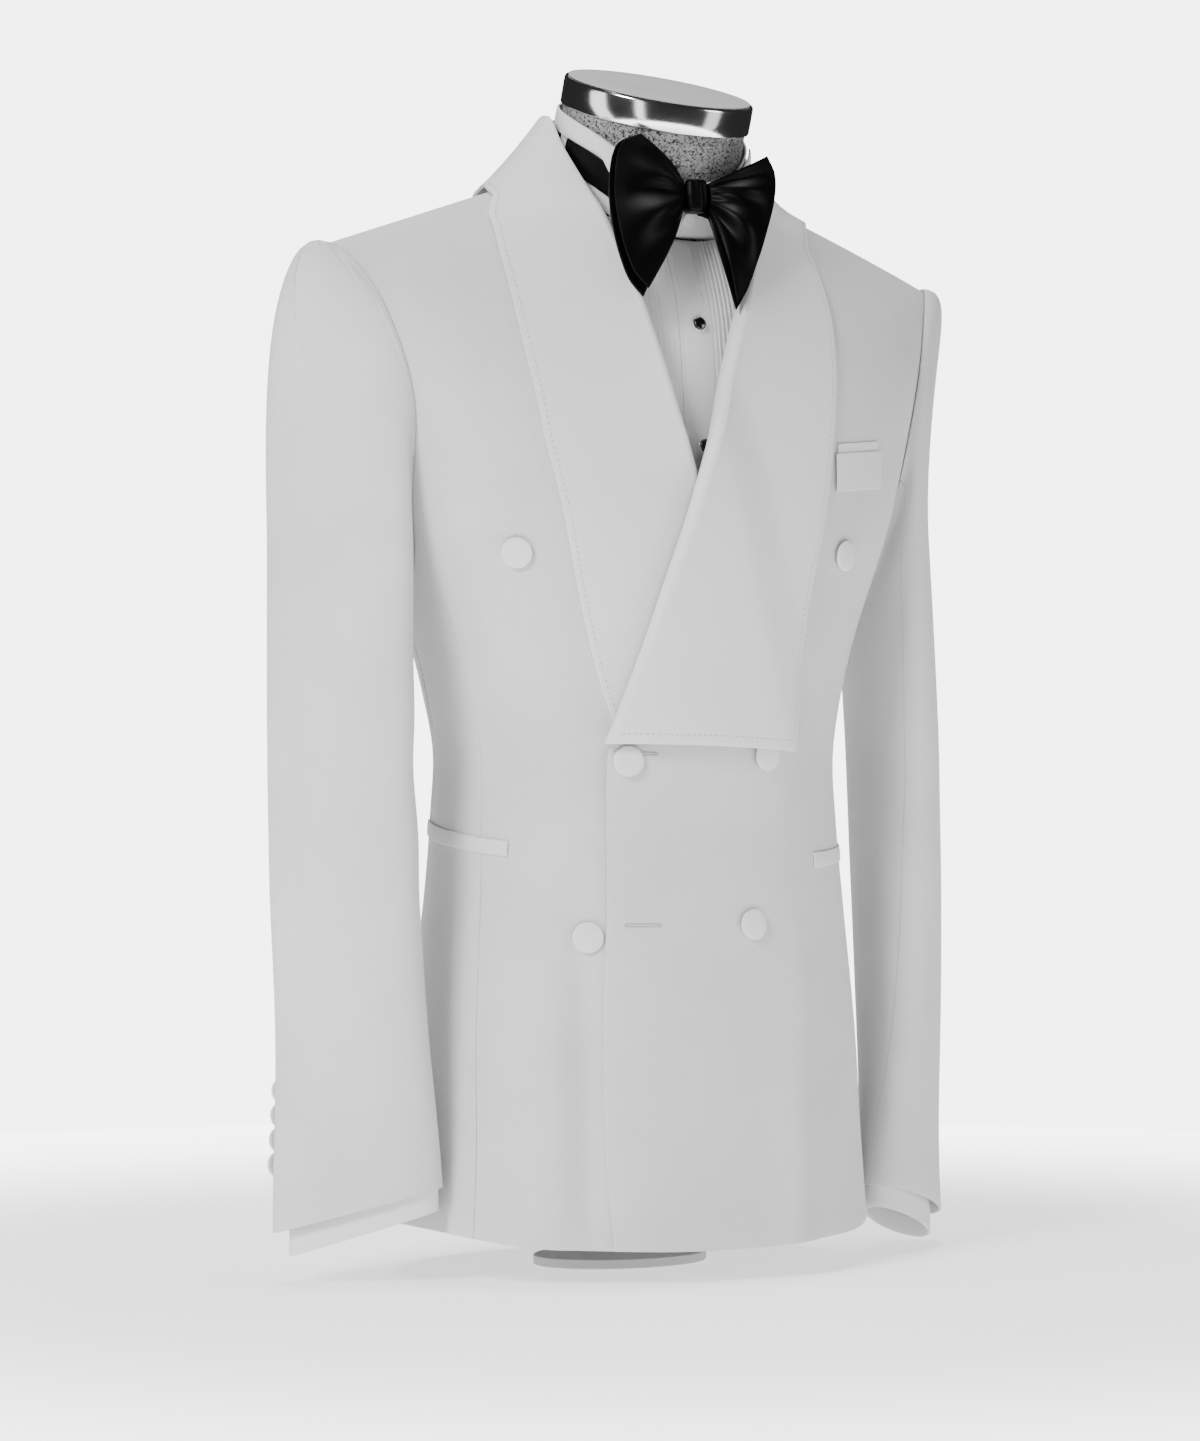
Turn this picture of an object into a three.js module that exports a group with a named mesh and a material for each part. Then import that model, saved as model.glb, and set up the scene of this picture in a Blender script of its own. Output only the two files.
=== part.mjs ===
// A double-breasted dinner jacket with its pleated shirt, butterfly bow tie and pocket square,
// worn by a limbless display form on a small foot.
//
// Units are millimetres. +Z is up, the front faces -Y and the wearer's left is +X.
// Heights in the tables are measured from the jacket's front hem; the garment group lifts
// all of them, so that the foot of the form stands at z = 0.
//
// Every cloth piece is a wall between two skins. Its middle is a grid of points on the
// garment's own surface (body, sleeve, collar or neck) and the skins lie half a wall either side.

import * as THREE from 'three';

const HEM_HEIGHT = 24;
const SEAM = 0.4;
const PANEL_SEAM = 0.35;
const RIDGE_GAP = 1.1;
const CENTRE_GAP = 0.3;

const CLOTH = { jacket: 1.8, collar: 2.0, shirt: 1.4, cuff: 1.6, welt: 1.6, silk: 1.8, square: 1.4 };

// The colours of the finishes
const FINISH = {
  weave: { color: 0xdcdcdc, roughness: 0.85, metalness: 0 },
  satin: { color: 0xe2e2e2, roughness: 0.55, metalness: 0 },
  shirting: { color: 0xe6e6e6, roughness: 0.8, metalness: 0 },
  silk: { color: 0x0b0b0c, roughness: 0.35, metalness: 0 },
  stud: { color: 0x101012, roughness: 0.15, metalness: 0.2 },
  pearl: { color: 0xd8d8d4, roughness: 0.25, metalness: 0 },
  chrome: { color: 0xb8b8bb, roughness: 0.12, metalness: 1 },
  cap: { color: 0x9a9a9a, roughness: 0.6, metalness: 0 },
  knit: { color: 0x8d8d8d, roughness: 0.95, metalness: 0 },
  foot: { color: 0xc9c9c9, roughness: 0.5, metalness: 0 },
};

// Half width and depths of the closed jacket at each height
const TORSO = [
  { z: -40, half: 163, front: 117, back: 125 },
  { z: 0, half: 162, front: 116, back: 124 },
  { z: 60, half: 158, front: 114, back: 122 },
  { z: 132, half: 154, front: 111, back: 119 },
  { z: 218, half: 144, front: 107, back: 113 },
  { z: 270, half: 139, front: 103, back: 110 },
  { z: 315, half: 137, front: 101.5, back: 108.5 },
  { z: 361, half: 145, front: 104, back: 113 },
  { z: 401, half: 157, front: 108, back: 121 },
  { z: 471, half: 184, front: 112, back: 132 },
  { z: 540, half: 205, front: 107, back: 135 },
  { z: 600, half: 227, front: 96, back: 130 },
  { z: 640, half: 243, front: 84, back: 120 },
  { z: 720, half: 262, front: 60, back: 95 },
];
const TORSO_SHAPE = 2.2;
const SHOULDER = { tipX: 230, tipZ: 639, slope: 0.36, reach: 250, round: 140, roundShape: 2.2 };
const HEM_RISE = { side: 9, corner: -3, fade: 5 };

// The armhole, by the angle round it from the shoulder tip: how far each point lies from the
// side of the body, as an angle round the body
const ARMHOLE = { middleZ: 535.5, reachZ: 103.5 };
const ARMHOLE_OPENING = [
  { turn: 0, away: 18.2 },
  { turn: 30, away: 24.3 },
  { turn: 60, away: 25.6 },
  { turn: 90, away: 23 },
  { turn: 120, away: 14.5 },
  { turn: 150, away: 6 },
  { turn: 180, away: 0 },
];
const SIDE_SEAM = { meetsTurn: 128, frontHem: 66, backHem: 116 };

// Fold line and outer edge of each lapel, by height, with the height of its roll and how far
// its middle lies off the front beneath. The square end of the left one hangs clear of a button.
const LEFT_LAPEL = [
  { z: 320.5, fold: -74.5, outer: 53.5, roll: 1.5, lies: 7.6 },
  { z: 334, fold: -70, outer: 56.5, roll: 2.5, lies: 7.4 },
  { z: 378, fold: -57, outer: 63.5, roll: 5, lies: 4.6 },
  { z: 425, fold: -43.5, outer: 71.5, roll: 7, lies: 3.2 },
  { z: 462, fold: -31.5, outer: 79.5, roll: 8, lies: 2.9 },
  { z: 489, fold: -22.5, outer: 84.5, roll: 8.5, lies: 2.9 },
  { z: 520, fold: -12, outer: 89.5, roll: 9, lies: 2.9 },
  { z: 553, fold: 0, outer: 94, roll: 9, lies: 2.9 },
  { z: 587, fold: 13, outer: 98, roll: 9, lies: 2.9 },
  { z: 620, fold: 29, outer: 100.5, roll: 9, lies: 2.9 },
  { z: 650, fold: 45, outer: 101, roll: 10, lies: 2.9 },
];
const RIGHT_LAPEL = [
  { z: 322, fold: 30, outer: -66, roll: 0.6, lies: 2.9 },
  { z: 363, fold: 19, outer: -81, roll: 0.6, lies: 2.9 },
  { z: 413, fold: 3, outer: -95.5, roll: 0.6, lies: 2.9 },
  { z: 452, fold: -9, outer: -105, roll: 0.4, lies: 2.9 },
  { z: 489, fold: -21, outer: -114, roll: 0.5, lies: 2.9 },
  { z: 512, fold: -29, outer: -120, roll: 4.5, lies: 2.9 },
  { z: 533, fold: -36, outer: -124, roll: 6.5, lies: 2.9 },
  { z: 580, fold: -49, outer: -132, roll: 8.5, lies: 2.9 },
  { z: 629, fold: -58.5, outer: -134, roll: 9.5, lies: 2.9 },
  { z: 660, fold: -62.5, outer: -130, roll: 10.5, lies: 2.9 },
];
const LAPEL_END_SAG = 4.5;
// The collar round the neck: its seam to the neckline, the fold above it, the fall and its outer edge
const COLLAR = [
  { seam: [72, -33, 677], fold: [66, -46, 687], fall: [92, -36, 680], outer: [120, -22, 672.5] },
  { seam: [75, -15, 692], fold: [70, -25, 713], fall: [90, -19, 695], outer: [116, -6, 683] },
  { seam: [74, 6, 700], fold: [70, -9, 733], fall: [88, 2, 706], outer: [109, 13, 688] },
  { seam: [65, 32, 701], fold: [61, 18, 736], fall: [77, 36, 710], outer: [94, 54, 686] },
  { seam: [46, 51, 699], fold: [45, 38, 735], fall: [55, 60, 708], outer: [68, 82, 679] },
  { seam: [23, 63, 698], fold: [24, 51, 732], fall: [28, 71, 705], outer: [34, 93.5, 674] },
  { seam: [0.6, 67, 697], fold: [0.6, 56, 731], fall: [0.6, 75, 704], outer: [0.6, 97, 672] },
];
const NECKLINE = { frontX: 80, backDrop: 0.96, foldInset: 2.6 };

const FRONT_EDGE = [
  { z: -10, left: -77, right: 38 },
  { z: 50, left: -81, right: 38 },
  { z: 93, left: -82, right: 38 },
  { z: 164, left: -80, right: 37 },
  { z: 221, left: -76.5, right: 36 },
  { z: 289, left: -74.5, right: 33 },
  { z: 322, left: -73.5, right: 30 },
];
// How far the left front rides over the right one, under and above the end of the lapel
const OVERLAP = { low: 3, high: 6.6, fromZ: 262, toZ: 322, fadeFrom: 510, fadeTo: 580, beyond: 12, ramp: 46 };

// Sleeve sections below the armhole: middle, half axes and the turn of the long axis
const SLEEVE = [
  { along: 0, x: 211, y: 18, z: 441, long: 66, short: 23, twist: 16, tilt: 30 },
  { along: 0.22, x: 213.5, y: 12, z: 345, long: 63, short: 25, twist: 18, tilt: 12 },
  { along: 0.48, x: 213.5, y: 6, z: 235, long: 58.5, short: 27, twist: 22, tilt: 0 },
  { along: 0.74, x: 211, y: -1, z: 130, long: 54, short: 27, twist: 31, tilt: 0 },
  { along: 1, x: 208.5, y: -5, z: 23, long: 54, short: 24, twist: 52, tilt: 0 },
];
const SLEEVE_HEM = { slope: 15, drop: { left: 14, right: 0 }, upperFrom: -112, upperTo: 108 };
const SLEEVE_HEAD = { out: 112, fuller: 0.72, down: 230, lift: -0.1, underOut: 26, underDown: 30 };
const CUFF = { inset: 6.6, above: 0.11, below: 15, forward: 4 };

const BUTTON = { radius: 10, height: 4.6, lift: 0.45 };
const CUFF_BUTTON = { radius: 7.6, height: 4.4, lift: 0.45, lowest: 42, pitch: 15.6, turn: -100 };
const FRONT_BUTTONS = [
  { name: 'button_top_right', x: -132, z: 441.5 },
  { name: 'button_top_left', x: 103.5, z: 446 },
  { name: 'button_middle_right', x: -62, z: 309 },
  { name: 'button_middle_left', x: 34.4, z: 313.5 },
  { name: 'button_bottom_right', x: -88, z: 197 },
  { name: 'button_bottom_left', x: 21.8, z: 204 },
];
const BREAST_WELT = { x0: 93, x1: 139, z0: 487, z1: 512, rise: 5.5 };
const SQUARE = { x0: 95.5, x1: 137, showing: 6.5, tuck: 8 };
const HIP_WELTS = {
  left: { from: 33.5, to: 84, z: 245, tall: 10, rise: 9 },
  right: { from: 61.6, to: 112, z: 253, tall: 10, rise: 14 },
};

// The neck of the form leans forward. Rings round it are measured along its axis from the cap.
const NECK = { capY: -32, capZ: 756, lean: 20, radius: 61, ringHeight: 20, ringRadius: 63.5 };
const SHIRT_COLLAR = [
  { turn: 0, top: -51, bottom: -87, radius: 63.8 },
  { turn: 30, top: -45, bottom: -85, radius: 63.8 },
  { turn: 64, top: -30, bottom: -73, radius: 63.8 },
  { turn: 105, top: -23.5, bottom: -66, radius: 64.2 },
  { turn: 180, top: -23, bottom: -64, radius: 64.2 },
];
const WING = { topFrom: 9, topTo: 66, tipFrom: 33, tipTo: 38, drop: 26, out: 4.1 };
const BOW_BAND = { below: 12, belowFront: 1, risesBy: 32, height: 19, out: 2.1, from: 5.2 };
const COLLAR_FLARE = 1.6;
const SHIRT_FRONT = {
  inset: -9, insetTop: -5.4, bottom: 425, top: 650.4, rise: 0.0062, outer: 74, outerTop: 57, outerLift: 6.6,
  placket: 14.5, middle: -6, lean: 0.03,
};
const PLEATS = { count: 9, pitch: 3.4, rise: 0.9 };
const STUDS = [
  { name: 'stud_upper', z: 594 },
  { name: 'stud_lower', z: 513 },
];

// The bow: the far edge of each lobe from its top corner down to its tip
const KNOT = { x: -3, y: -82.6, z: 677, wide: 17, tall: 21, front: 6.3, back: 8.5, lean: 3.9 };
const LOBES = {
  right: [
    { v: 0, x: -42, y: -78, z: 715 },
    { v: 0.18, x: -57.5, y: -80, z: 707 },
    { v: 0.42, x: -66, y: -86, z: 681 },
    { v: 0.64, x: -70, y: -98.5, z: 652 },
    { v: 0.85, x: -66, y: -109, z: 623 },
    { v: 1, x: -57, y: -114, z: 610 },
  ],
  left: [
    { v: 0, x: 52.5, y: -81, z: 708 },
    { v: 0.18, x: 58, y: -82, z: 696 },
    { v: 0.42, x: 52, y: -90, z: 676 },
    { v: 0.64, x: 37.5, y: -100, z: 647 },
    { v: 0.85, x: 23, y: -108, z: 622 },
    { v: 1, x: 10.5, y: -113, z: 606 },
  ],
};
const LOBE = { swell: 11, folds: 3, foldDepth: 1.6, layerGap: 4.6, slip: 5 };

// The form: how far it lies inside the cloth, and the foot it stands on
const FORM = { inset: 13, frontInset: 10.5, backInset: 6, under: 3.4, sideLimit: 196, bottom: 90 };
const FOOT = { y: 20, plateX: 62, plateY: 44, plate: 7, postX: 40, postY: 32 };

const DEGREE = Math.PI / 180;
const UP = new THREE.Vector3(0, 0, 1);

const lerp = THREE.MathUtils.lerp;
const smooth = (from, to, at) => THREE.MathUtils.smoothstep(at, from, to);

// Reads a table with a smooth curve through its rows
function read(table, key, column, at) {
  let i = table.findIndex((row) => row[key] > at) - 1;
  if (i === -2) i = table.length - 2;
  i = Math.max(0, Math.min(table.length - 2, i));
  const slope = (j) => {
    const a = table[Math.max(0, j - 1)];
    const b = table[Math.min(table.length - 1, j + 1)];
    return (b[column] - a[column]) / (b[key] - a[key]);
  };
  const span = table[i + 1][key] - table[i][key];
  const t = THREE.MathUtils.clamp((at - table[i][key]) / span, 0, 1);
  const h = 2 * t ** 3 - 3 * t ** 2 + 1;
  return h * table[i][column] + (1 - h) * table[i + 1][column]
    + (t ** 3 - 2 * t ** 2 + t) * span * slope(i) + (t ** 3 - t ** 2) * span * slope(i + 1);
}

// The body surface

function shoulderZ(x) {
  return SHOULDER.tipZ + (SHOULDER.tipX - Math.min(Math.abs(x), SHOULDER.reach)) * SHOULDER.slope;
}

function capShare(drop) {
  if (drop <= 0) return 0;
  if (drop >= SHOULDER.round) return 1;
  return (1 - (1 - drop / SHOULDER.round) ** SHOULDER.roundShape) ** (1 / SHOULDER.roundShape);
}

// phi runs from 0 at the centre front by 90 at the side to 180 at the centre back
function bodyAt(phi, z) {
  const sine = Math.sin(phi * DEGREE);
  const x = read(TORSO, 'z', 'half', z) * sine ** (2 / TORSO_SHAPE);
  const across = Math.abs(Math.cos(phi * DEGREE)) ** (2 / TORSO_SHAPE) * capShare(shoulderZ(x) - z);
  const y = phi <= 90 ? -read(TORSO, 'z', 'front', z) * across : read(TORSO, 'z', 'back', z) * across;
  return new THREE.Vector3(x, y, z);
}

function phiOf(x, z) {
  const share = Math.min(1, Math.max(0, x) / read(TORSO, 'z', 'half', z));
  return Math.asin(share ** (TORSO_SHAPE / 2)) / DEGREE;
}

function bodyNormal(phi, z) {
  const step = 0.4;
  const low = Math.max(0.01, Math.min(179.2, phi));
  const across = bodyAt(low + step, z).sub(bodyAt(low, z));
  const up = bodyAt(low, z).sub(bodyAt(low, z - 1));
  return across.cross(up).normalize();
}

function onBody(phi, z, out) {
  const point = bodyAt(phi, z);
  return point.addScaledVector(bodyNormal(phi, z), out);
}

// A point of the front, given by its own x, that may lie on either side of the centre
function onFront(x, z, out) {
  const point = onBody(phiOf(Math.abs(x), z), z, out);
  if (x < 0) point.x *= -1;
  return point;
}

function frontNormal(x, z) {
  const normal = bodyNormal(phiOf(Math.abs(x), z), z);
  if (x < 0) normal.x *= -1;
  return normal;
}

// Walls and solids

function geometryOf(points, faces) {
  const geometry = new THREE.BufferGeometry();
  geometry.setAttribute('position', new THREE.Float32BufferAttribute(points.flatMap((p) => [p.x, p.y, p.z]), 3));
  geometry.setIndex(faces.flat());
  geometry.computeVertexNormals();
  return geometry;
}

function gridNormal(grid, r, c, wraps) {
  const columns = grid[0].length;
  const left = wraps ? (c + columns - 1) % columns : Math.max(0, c - 1);
  const right = wraps ? (c + 1) % columns : Math.min(columns - 1, c + 1);
  const across = grid[r][right].clone().sub(grid[r][left]);
  const up = grid[Math.min(grid.length - 1, r + 1)][c].clone().sub(grid[Math.max(0, r - 1)][c]);
  return across.cross(up).normalize();
}

// A closed wall on a grid of middle points. relief moves the outer skin alone.
function wall(grid, thickness, { wraps = false, relief = null, normals = null } = {}) {
  const rows = grid.length;
  const columns = grid[0].length;
  const outer = [];
  const inner = [];
  for (let r = 0; r < rows; r += 1) {
    for (let c = 0; c < columns; c += 1) {
      const normal = normals ? normals[r][c] : gridNormal(grid, r, c, wraps);
      const raised = relief ? relief(r, c) : 0;
      outer.push(grid[r][c].clone().addScaledVector(normal, thickness / 2 + raised));
      inner.push(grid[r][c].clone().addScaledVector(normal, -thickness / 2));
    }
  }
  const faces = [];
  const total = rows * columns;
  const quad = (a, b, c, d) => faces.push([a, b, c], [a, c, d]);
  const spans = wraps ? columns : columns - 1;
  for (let r = 0; r < rows - 1; r += 1) {
    for (let c = 0; c < spans; c += 1) {
      const a = r * columns + c;
      const b = r * columns + ((c + 1) % columns);
      quad(a, b, b + columns, a + columns);
      quad(total + b, total + a, total + a + columns, total + b + columns);
    }
  }
  const top = (rows - 1) * columns;
  for (let c = 0; c < spans; c += 1) {
    const next = (c + 1) % columns;
    quad(total + c, total + next, next, c);
    quad(top + c, top + next, total + top + next, total + top + c);
  }
  if (!wraps) {
    for (let r = 0; r < rows - 1; r += 1) {
      const a = r * columns;
      const b = a + columns - 1;
      quad(total + a, a, a + columns, total + a + columns);
      quad(b, total + b, total + b + columns, b + columns);
    }
  }
  return geometryOf([...outer, ...inner], faces);
}

// A solid through rings, each turning the same way round, with a flat or domed end at each
function solid(rings) {
  const count = rings[0].length;
  const points = rings.flat();
  const faces = [];
  for (let r = 0; r < rings.length - 1; r += 1) {
    for (let c = 0; c < count; c += 1) {
      const a = r * count + c;
      const b = r * count + ((c + 1) % count);
      faces.push([a, b, b + count], [a, b + count, a + count]);
    }
  }
  const middle = (ring) => ring.reduce((sum, p) => sum.add(p), new THREE.Vector3()).divideScalar(count);
  points.push(middle(rings[0]), middle(rings.at(-1)));
  const low = points.length - 2;
  const high = points.length - 1;
  const last = (rings.length - 1) * count;
  for (let c = 0; c < count; c += 1) {
    const next = (c + 1) % count;
    faces.push([low, next, c], [high, last + c, last + next]);
  }
  return geometryOf(points, faces);
}

const mirrored = (grid) => grid.map((row) => row.map((p) => new THREE.Vector3(-p.x, p.y, p.z)).reverse());
const range = (count, from, to) => Array.from({ length: count }, (_, i) => lerp(from, to, i / (count - 1)));

const garment = new THREE.Group();

function add(name, geometry, finish) {
  const mesh = new THREE.Mesh(geometry, new THREE.MeshStandardMaterial(FINISH[finish]));
  mesh.name = name;
  garment.add(mesh);
  return mesh;
}

// The body panels

function armholeTurn(z) {
  return Math.acos(THREE.MathUtils.clamp((z - ARMHOLE.middleZ) / ARMHOLE.reachZ, -1, 1)) / DEGREE;
}

function armholePhi(z, back) {
  const away = read(ARMHOLE_OPENING, 'turn', 'away', armholeTurn(z));
  return back ? 90 + away : 90 - away;
}

const armholeZ = (turn) => ARMHOLE.middleZ + ARMHOLE.reachZ * Math.cos(turn * DEGREE);
const SEAM_TOP = armholeZ(SIDE_SEAM.meetsTurn);

// The edge of a front or back panel on the arm's side
function outerPhi(z, back) {
  if (z >= SEAM_TOP) return armholePhi(z, back);
  const hem = back ? SIDE_SEAM.backHem : SIDE_SEAM.frontHem;
  return lerp(hem, armholePhi(SEAM_TOP, back), smooth(0, SEAM_TOP, z));
}

const hemRise = (phi) => HEM_RISE.corner * (1 - smooth(0, 40, phi)) + HEM_RISE.side * smooth(35, 88, Math.min(phi, 180 - phi));

// Heights of a panel's rows as shares of the shoulder's height, closer near the shoulder
const PANEL_ROWS = [0, 0.1, 0.2, 0.29, 0.37, 0.44, 0.5, 0.57, 0.64, 0.71, 0.78, 0.84, 0.89, 0.93, 0.96, 0.985, 1];

function panelPoint(share, pick) {
  let x = pick.start;
  let z = share * shoulderZ(x);
  let phi = 0;
  for (let i = 0; i < 12; i += 1) {
    phi = pick.phi(z);
    x = bodyAt(phi, Math.max(z, 0)).x;
    z = share * shoulderZ(x) + hemRise(phi) * (1 - share) ** HEM_RISE.fade;
  }
  return { phi, x, z };
}

// Front or back panel of the left side: rows of points from its inner edge to its outer edge.
// innerX gives the inner edge, outOf gives how far each point lies out of the body surface.
function panelGrid({ rows, columns, innerX, back, outOf }) {
  const grid = [];
  for (const share of rows) {
    const seamShift = (z) => PANEL_SEAM / (read(TORSO, 'z', 'half', z) * DEGREE);
    const side = (x, z) => (back ? 180 - phiOf(x, z) : phiOf(x, z));
    const inner = panelPoint(share, { start: 60, phi: (z) => side(innerX(z, share), z) });
    const outer = panelPoint(share, { start: 180, phi: (z) => outerPhi(z, back) + (back ? 1 : -1) * seamShift(z) });
    const row = [];
    for (const u of range(columns, 0, 1)) {
      const spot = panelPoint(share, { start: lerp(inner.x, outer.x, u), phi: () => lerp(inner.phi, outer.phi, u) });
      const point = onBody(spot.phi, spot.z, outOf(spot.x, spot.z));
      if (share === 1) point.y = back ? Math.max(point.y, RIDGE_GAP) : Math.min(point.y, -RIDGE_GAP);
      row.push(point);
    }
    grid.push(back ? row.reverse() : row);
  }
  return grid;
}

// The left front rides over the right one where they overlap
function leftOut(x, z) {
  const amount = lerp(OVERLAP.low, OVERLAP.high, smooth(OVERLAP.fromZ, OVERLAP.toZ, z));
  const edge = z > FRONT_EDGE.at(-1).z ? read(RIGHT_LAPEL, 'z', 'fold', z) : read(FRONT_EDGE, 'z', 'right', z);
  const reach = 1 - smooth(edge + OVERLAP.beyond, edge + OVERLAP.beyond + OVERLAP.ramp, x);
  return amount * reach * (1 - smooth(OVERLAP.fadeFrom, OVERLAP.fadeTo, z));
}

// The inner edge of a front: the free edge, then the fold line, then the neckline
function frontInner(side, z, share) {
  const table = side === 'left' ? LEFT_LAPEL : RIGHT_LAPEL;
  const sign = side === 'left' ? 1 : -1;
  if (z < table[0].z) return read(FRONT_EDGE, 'z', side, z) * sign;
  const fold = read(table, 'z', 'fold', Math.min(z, table.at(-1).z)) * sign + NECKLINE.foldInset;
  return lerp(fold, NECKLINE.frontX, smooth(0.86, 0.985, share));
}

// Fronts may cross the centre line, so they are laid out by x rather than by the angle
function frontGrid(side, outOf) {
  const sign = side === 'left' ? 1 : -1;
  const grid = [];
  const seamShift = (z) => PANEL_SEAM / (read(TORSO, 'z', 'half', z) * DEGREE);
  for (const share of PANEL_ROWS) {
    let x0 = 0;
    let z0 = share * shoulderZ(0);
    for (let i = 0; i < 12; i += 1) {
      x0 = frontInner(side, z0, share);
      z0 = share * shoulderZ(x0);
    }
    const outer = panelPoint(share, { start: 180, phi: (z) => outerPhi(z, false) - seamShift(z) });
    const signed = (x, z) => Math.sign(x) * phiOf(Math.abs(x), z);
    const phi0 = signed(x0, z0);
    const row = [];
    for (const u of range(13, 0, 1)) {
      const phi = lerp(phi0, outer.phi, u ** 1.05);
      const spot = panelPoint(share, { start: 60, phi: () => Math.abs(phi) });
      const x = Math.sign(phi) * spot.x;
      const point = onBody(Math.abs(phi), spot.z, outOf(x, spot.z));
      if (phi < 0) point.x *= -1;
      if (share === 1) point.y = Math.min(point.y, -RIDGE_GAP);
      row.push(point);
    }
    grid.push(row);
  }
  return sign > 0 ? grid : mirrored(grid);
}

function buildBody() {
  add('front_left', wall(frontGrid('left', leftOut), CLOTH.jacket), 'weave');
  add('front_right', wall(frontGrid('right', () => 0), CLOTH.jacket), 'weave');

  const backNeck = (z, share) => {
    if (share <= NECKLINE.backDrop) return CENTRE_GAP;
    return NECKLINE.frontX * Math.sqrt((share - NECKLINE.backDrop) / (1 - NECKLINE.backDrop));
  };
  const back = panelGrid({ rows: PANEL_ROWS, columns: 9, innerX: backNeck, back: true, outOf: () => 0 });
  add('back_left', wall(back, CLOTH.jacket), 'weave');
  add('back_right', wall(mirrored(back), CLOTH.jacket), 'weave');

  const side = sideGrid();
  add('side_left', wall(side, CLOTH.jacket), 'weave');
  add('side_right', wall(mirrored(side), CLOTH.jacket), 'weave');
}

// The side panel runs under the arm, up to the foot of the armhole
function sideGrid() {
  const topOf = (u) => lerp(SIDE_SEAM.meetsTurn, 360 - SIDE_SEAM.meetsTurn, u);
  const grid = [];
  for (const v of range(12, 0, 1)) {
    const row = [];
    for (const u of range(7, 0, 1)) {
      const turn = topOf(u);
      const top = armholeZ(turn) - SEAM / 2;
      const hemPhi = lerp(SIDE_SEAM.frontHem, SIDE_SEAM.backHem, u);
      const low = hemRise(hemPhi);
      const z = lerp(low, top, v);
      const seamShift = PANEL_SEAM / (read(TORSO, 'z', 'half', z) * DEGREE);
      const from = outerPhi(Math.min(z, SEAM_TOP), false) + seamShift;
      const to = outerPhi(Math.min(z, SEAM_TOP), true) - seamShift;
      row.push(onBody(lerp(from, to, u), z, 0));
    }
    grid.push(row);
  }
  return grid;
}

// The collar and lapels

// One row across a lapel on the front: round the roll at the fold line, then out to the edge
const ROLL = [
  { along: 0.6, up: 0.02 },
  { along: -0.9, up: 0.32 },
  { along: -1.1, up: 0.66 },
  { along: 0.4, up: 0.94 },
  { along: 3.4, up: 1.03 },
];
const FALL_STEPS = 7;
const FALL_CLEAR = 3.1;

function lapelRow(side, z) {
  const table = side === 'left' ? LEFT_LAPEL : RIGHT_LAPEL;
  const sign = side === 'left' ? 1 : -1;
  const fold = read(table, 'z', 'fold', z);
  const outer = read(table, 'z', 'outer', z);
  const roll = read(table, 'z', 'roll', z);
  const lies = read(table, 'z', 'lies', z);
  const under = (x) => (side === 'left' ? leftOut(x, z) : 0);
  const row = ROLL.map(({ along, up }) => onFront(fold + sign * along, z, under(fold) + lerp(0, lies + roll, up)));
  const start = ROLL.at(-1).along;
  const width = Math.abs(outer - fold) - start;
  for (let i = 1; i <= FALL_STEPS; i += 1) {
    const share = (i / FALL_STEPS) ** 1.15;
    const x = fold + sign * (start + width * share);
    const rise = roll * (1 - share) ** 2.4;
    const low = z - LAPEL_END_SAG * share ** 2 * (1 - smooth(table[0].z, table[0].z + 30, z));
    row.push(onFront(x, side === 'left' ? low : z, under(x) + lies + rise));
  }
  return row;
}

// Height of the shoulder's surface over a point
function shoulderTop(x, y) {
  let z = shoulderZ(x);
  for (let i = 0; i < 8; i += 1) {
    const depth = read(TORSO, 'z', y < 0 ? 'front' : 'back', z);
    const share = Math.min(1, Math.abs(x) / read(TORSO, 'z', 'half', z));
    const cap = Math.min(0.98, Math.abs(y) / (depth * (1 - share ** TORSO_SHAPE) ** (1 / TORSO_SHAPE)));
    const next = shoulderZ(x) - SHOULDER.round * (1 - (1 - cap ** SHOULDER.roundShape) ** (1 / SHOULDER.roundShape));
    z = lerp(z, next, 0.7);
  }
  return z;
}

// Lifts a point of the fall until it clears the shoulder beneath, square to its slope
function clearOfShoulder(point) {
  const step = 1.5;
  const here = shoulderTop(point.x, point.y);
  const across = (shoulderTop(point.x + step, point.y) - here) / step;
  const along = (shoulderTop(point.x, point.y + step) - here) / step;
  point.z = Math.max(point.z, here + FALL_CLEAR * Math.hypot(1, across, along));
  return point;
}

// One row across the collar at the neck: up the stand, over the fold and down the fall
function collarRow(station, sign) {
  const at = (key) => new THREE.Vector3(station[key][0] * sign, station[key][1], station[key][2]);
  const seam = at('seam');
  const fold = at('fold');
  const fall = at('fall');
  const outer = at('outer');
  const away = outer.clone().sub(fold).setZ(0).normalize();
  const row = [
    seam,
    seam.clone().lerp(fold, 0.45),
    seam.clone().lerp(fold, 0.86),
    fold.clone().addScaledVector(away, 0.6),
    fold.clone().addScaledVector(away, 3.2).add(new THREE.Vector3(0, 0, -0.6)),
  ];
  const from = row.at(-1).clone();
  for (let i = 1; i <= FALL_STEPS; i += 1) {
    const t = (i / FALL_STEPS) ** 1.15;
    const point = from.clone().multiplyScalar((1 - t) ** 2);
    point.addScaledVector(fall, 2 * t * (1 - t)).addScaledVector(outer, t * t);
    row.push(clearOfShoulder(point));
  }
  return row;
}

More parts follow.
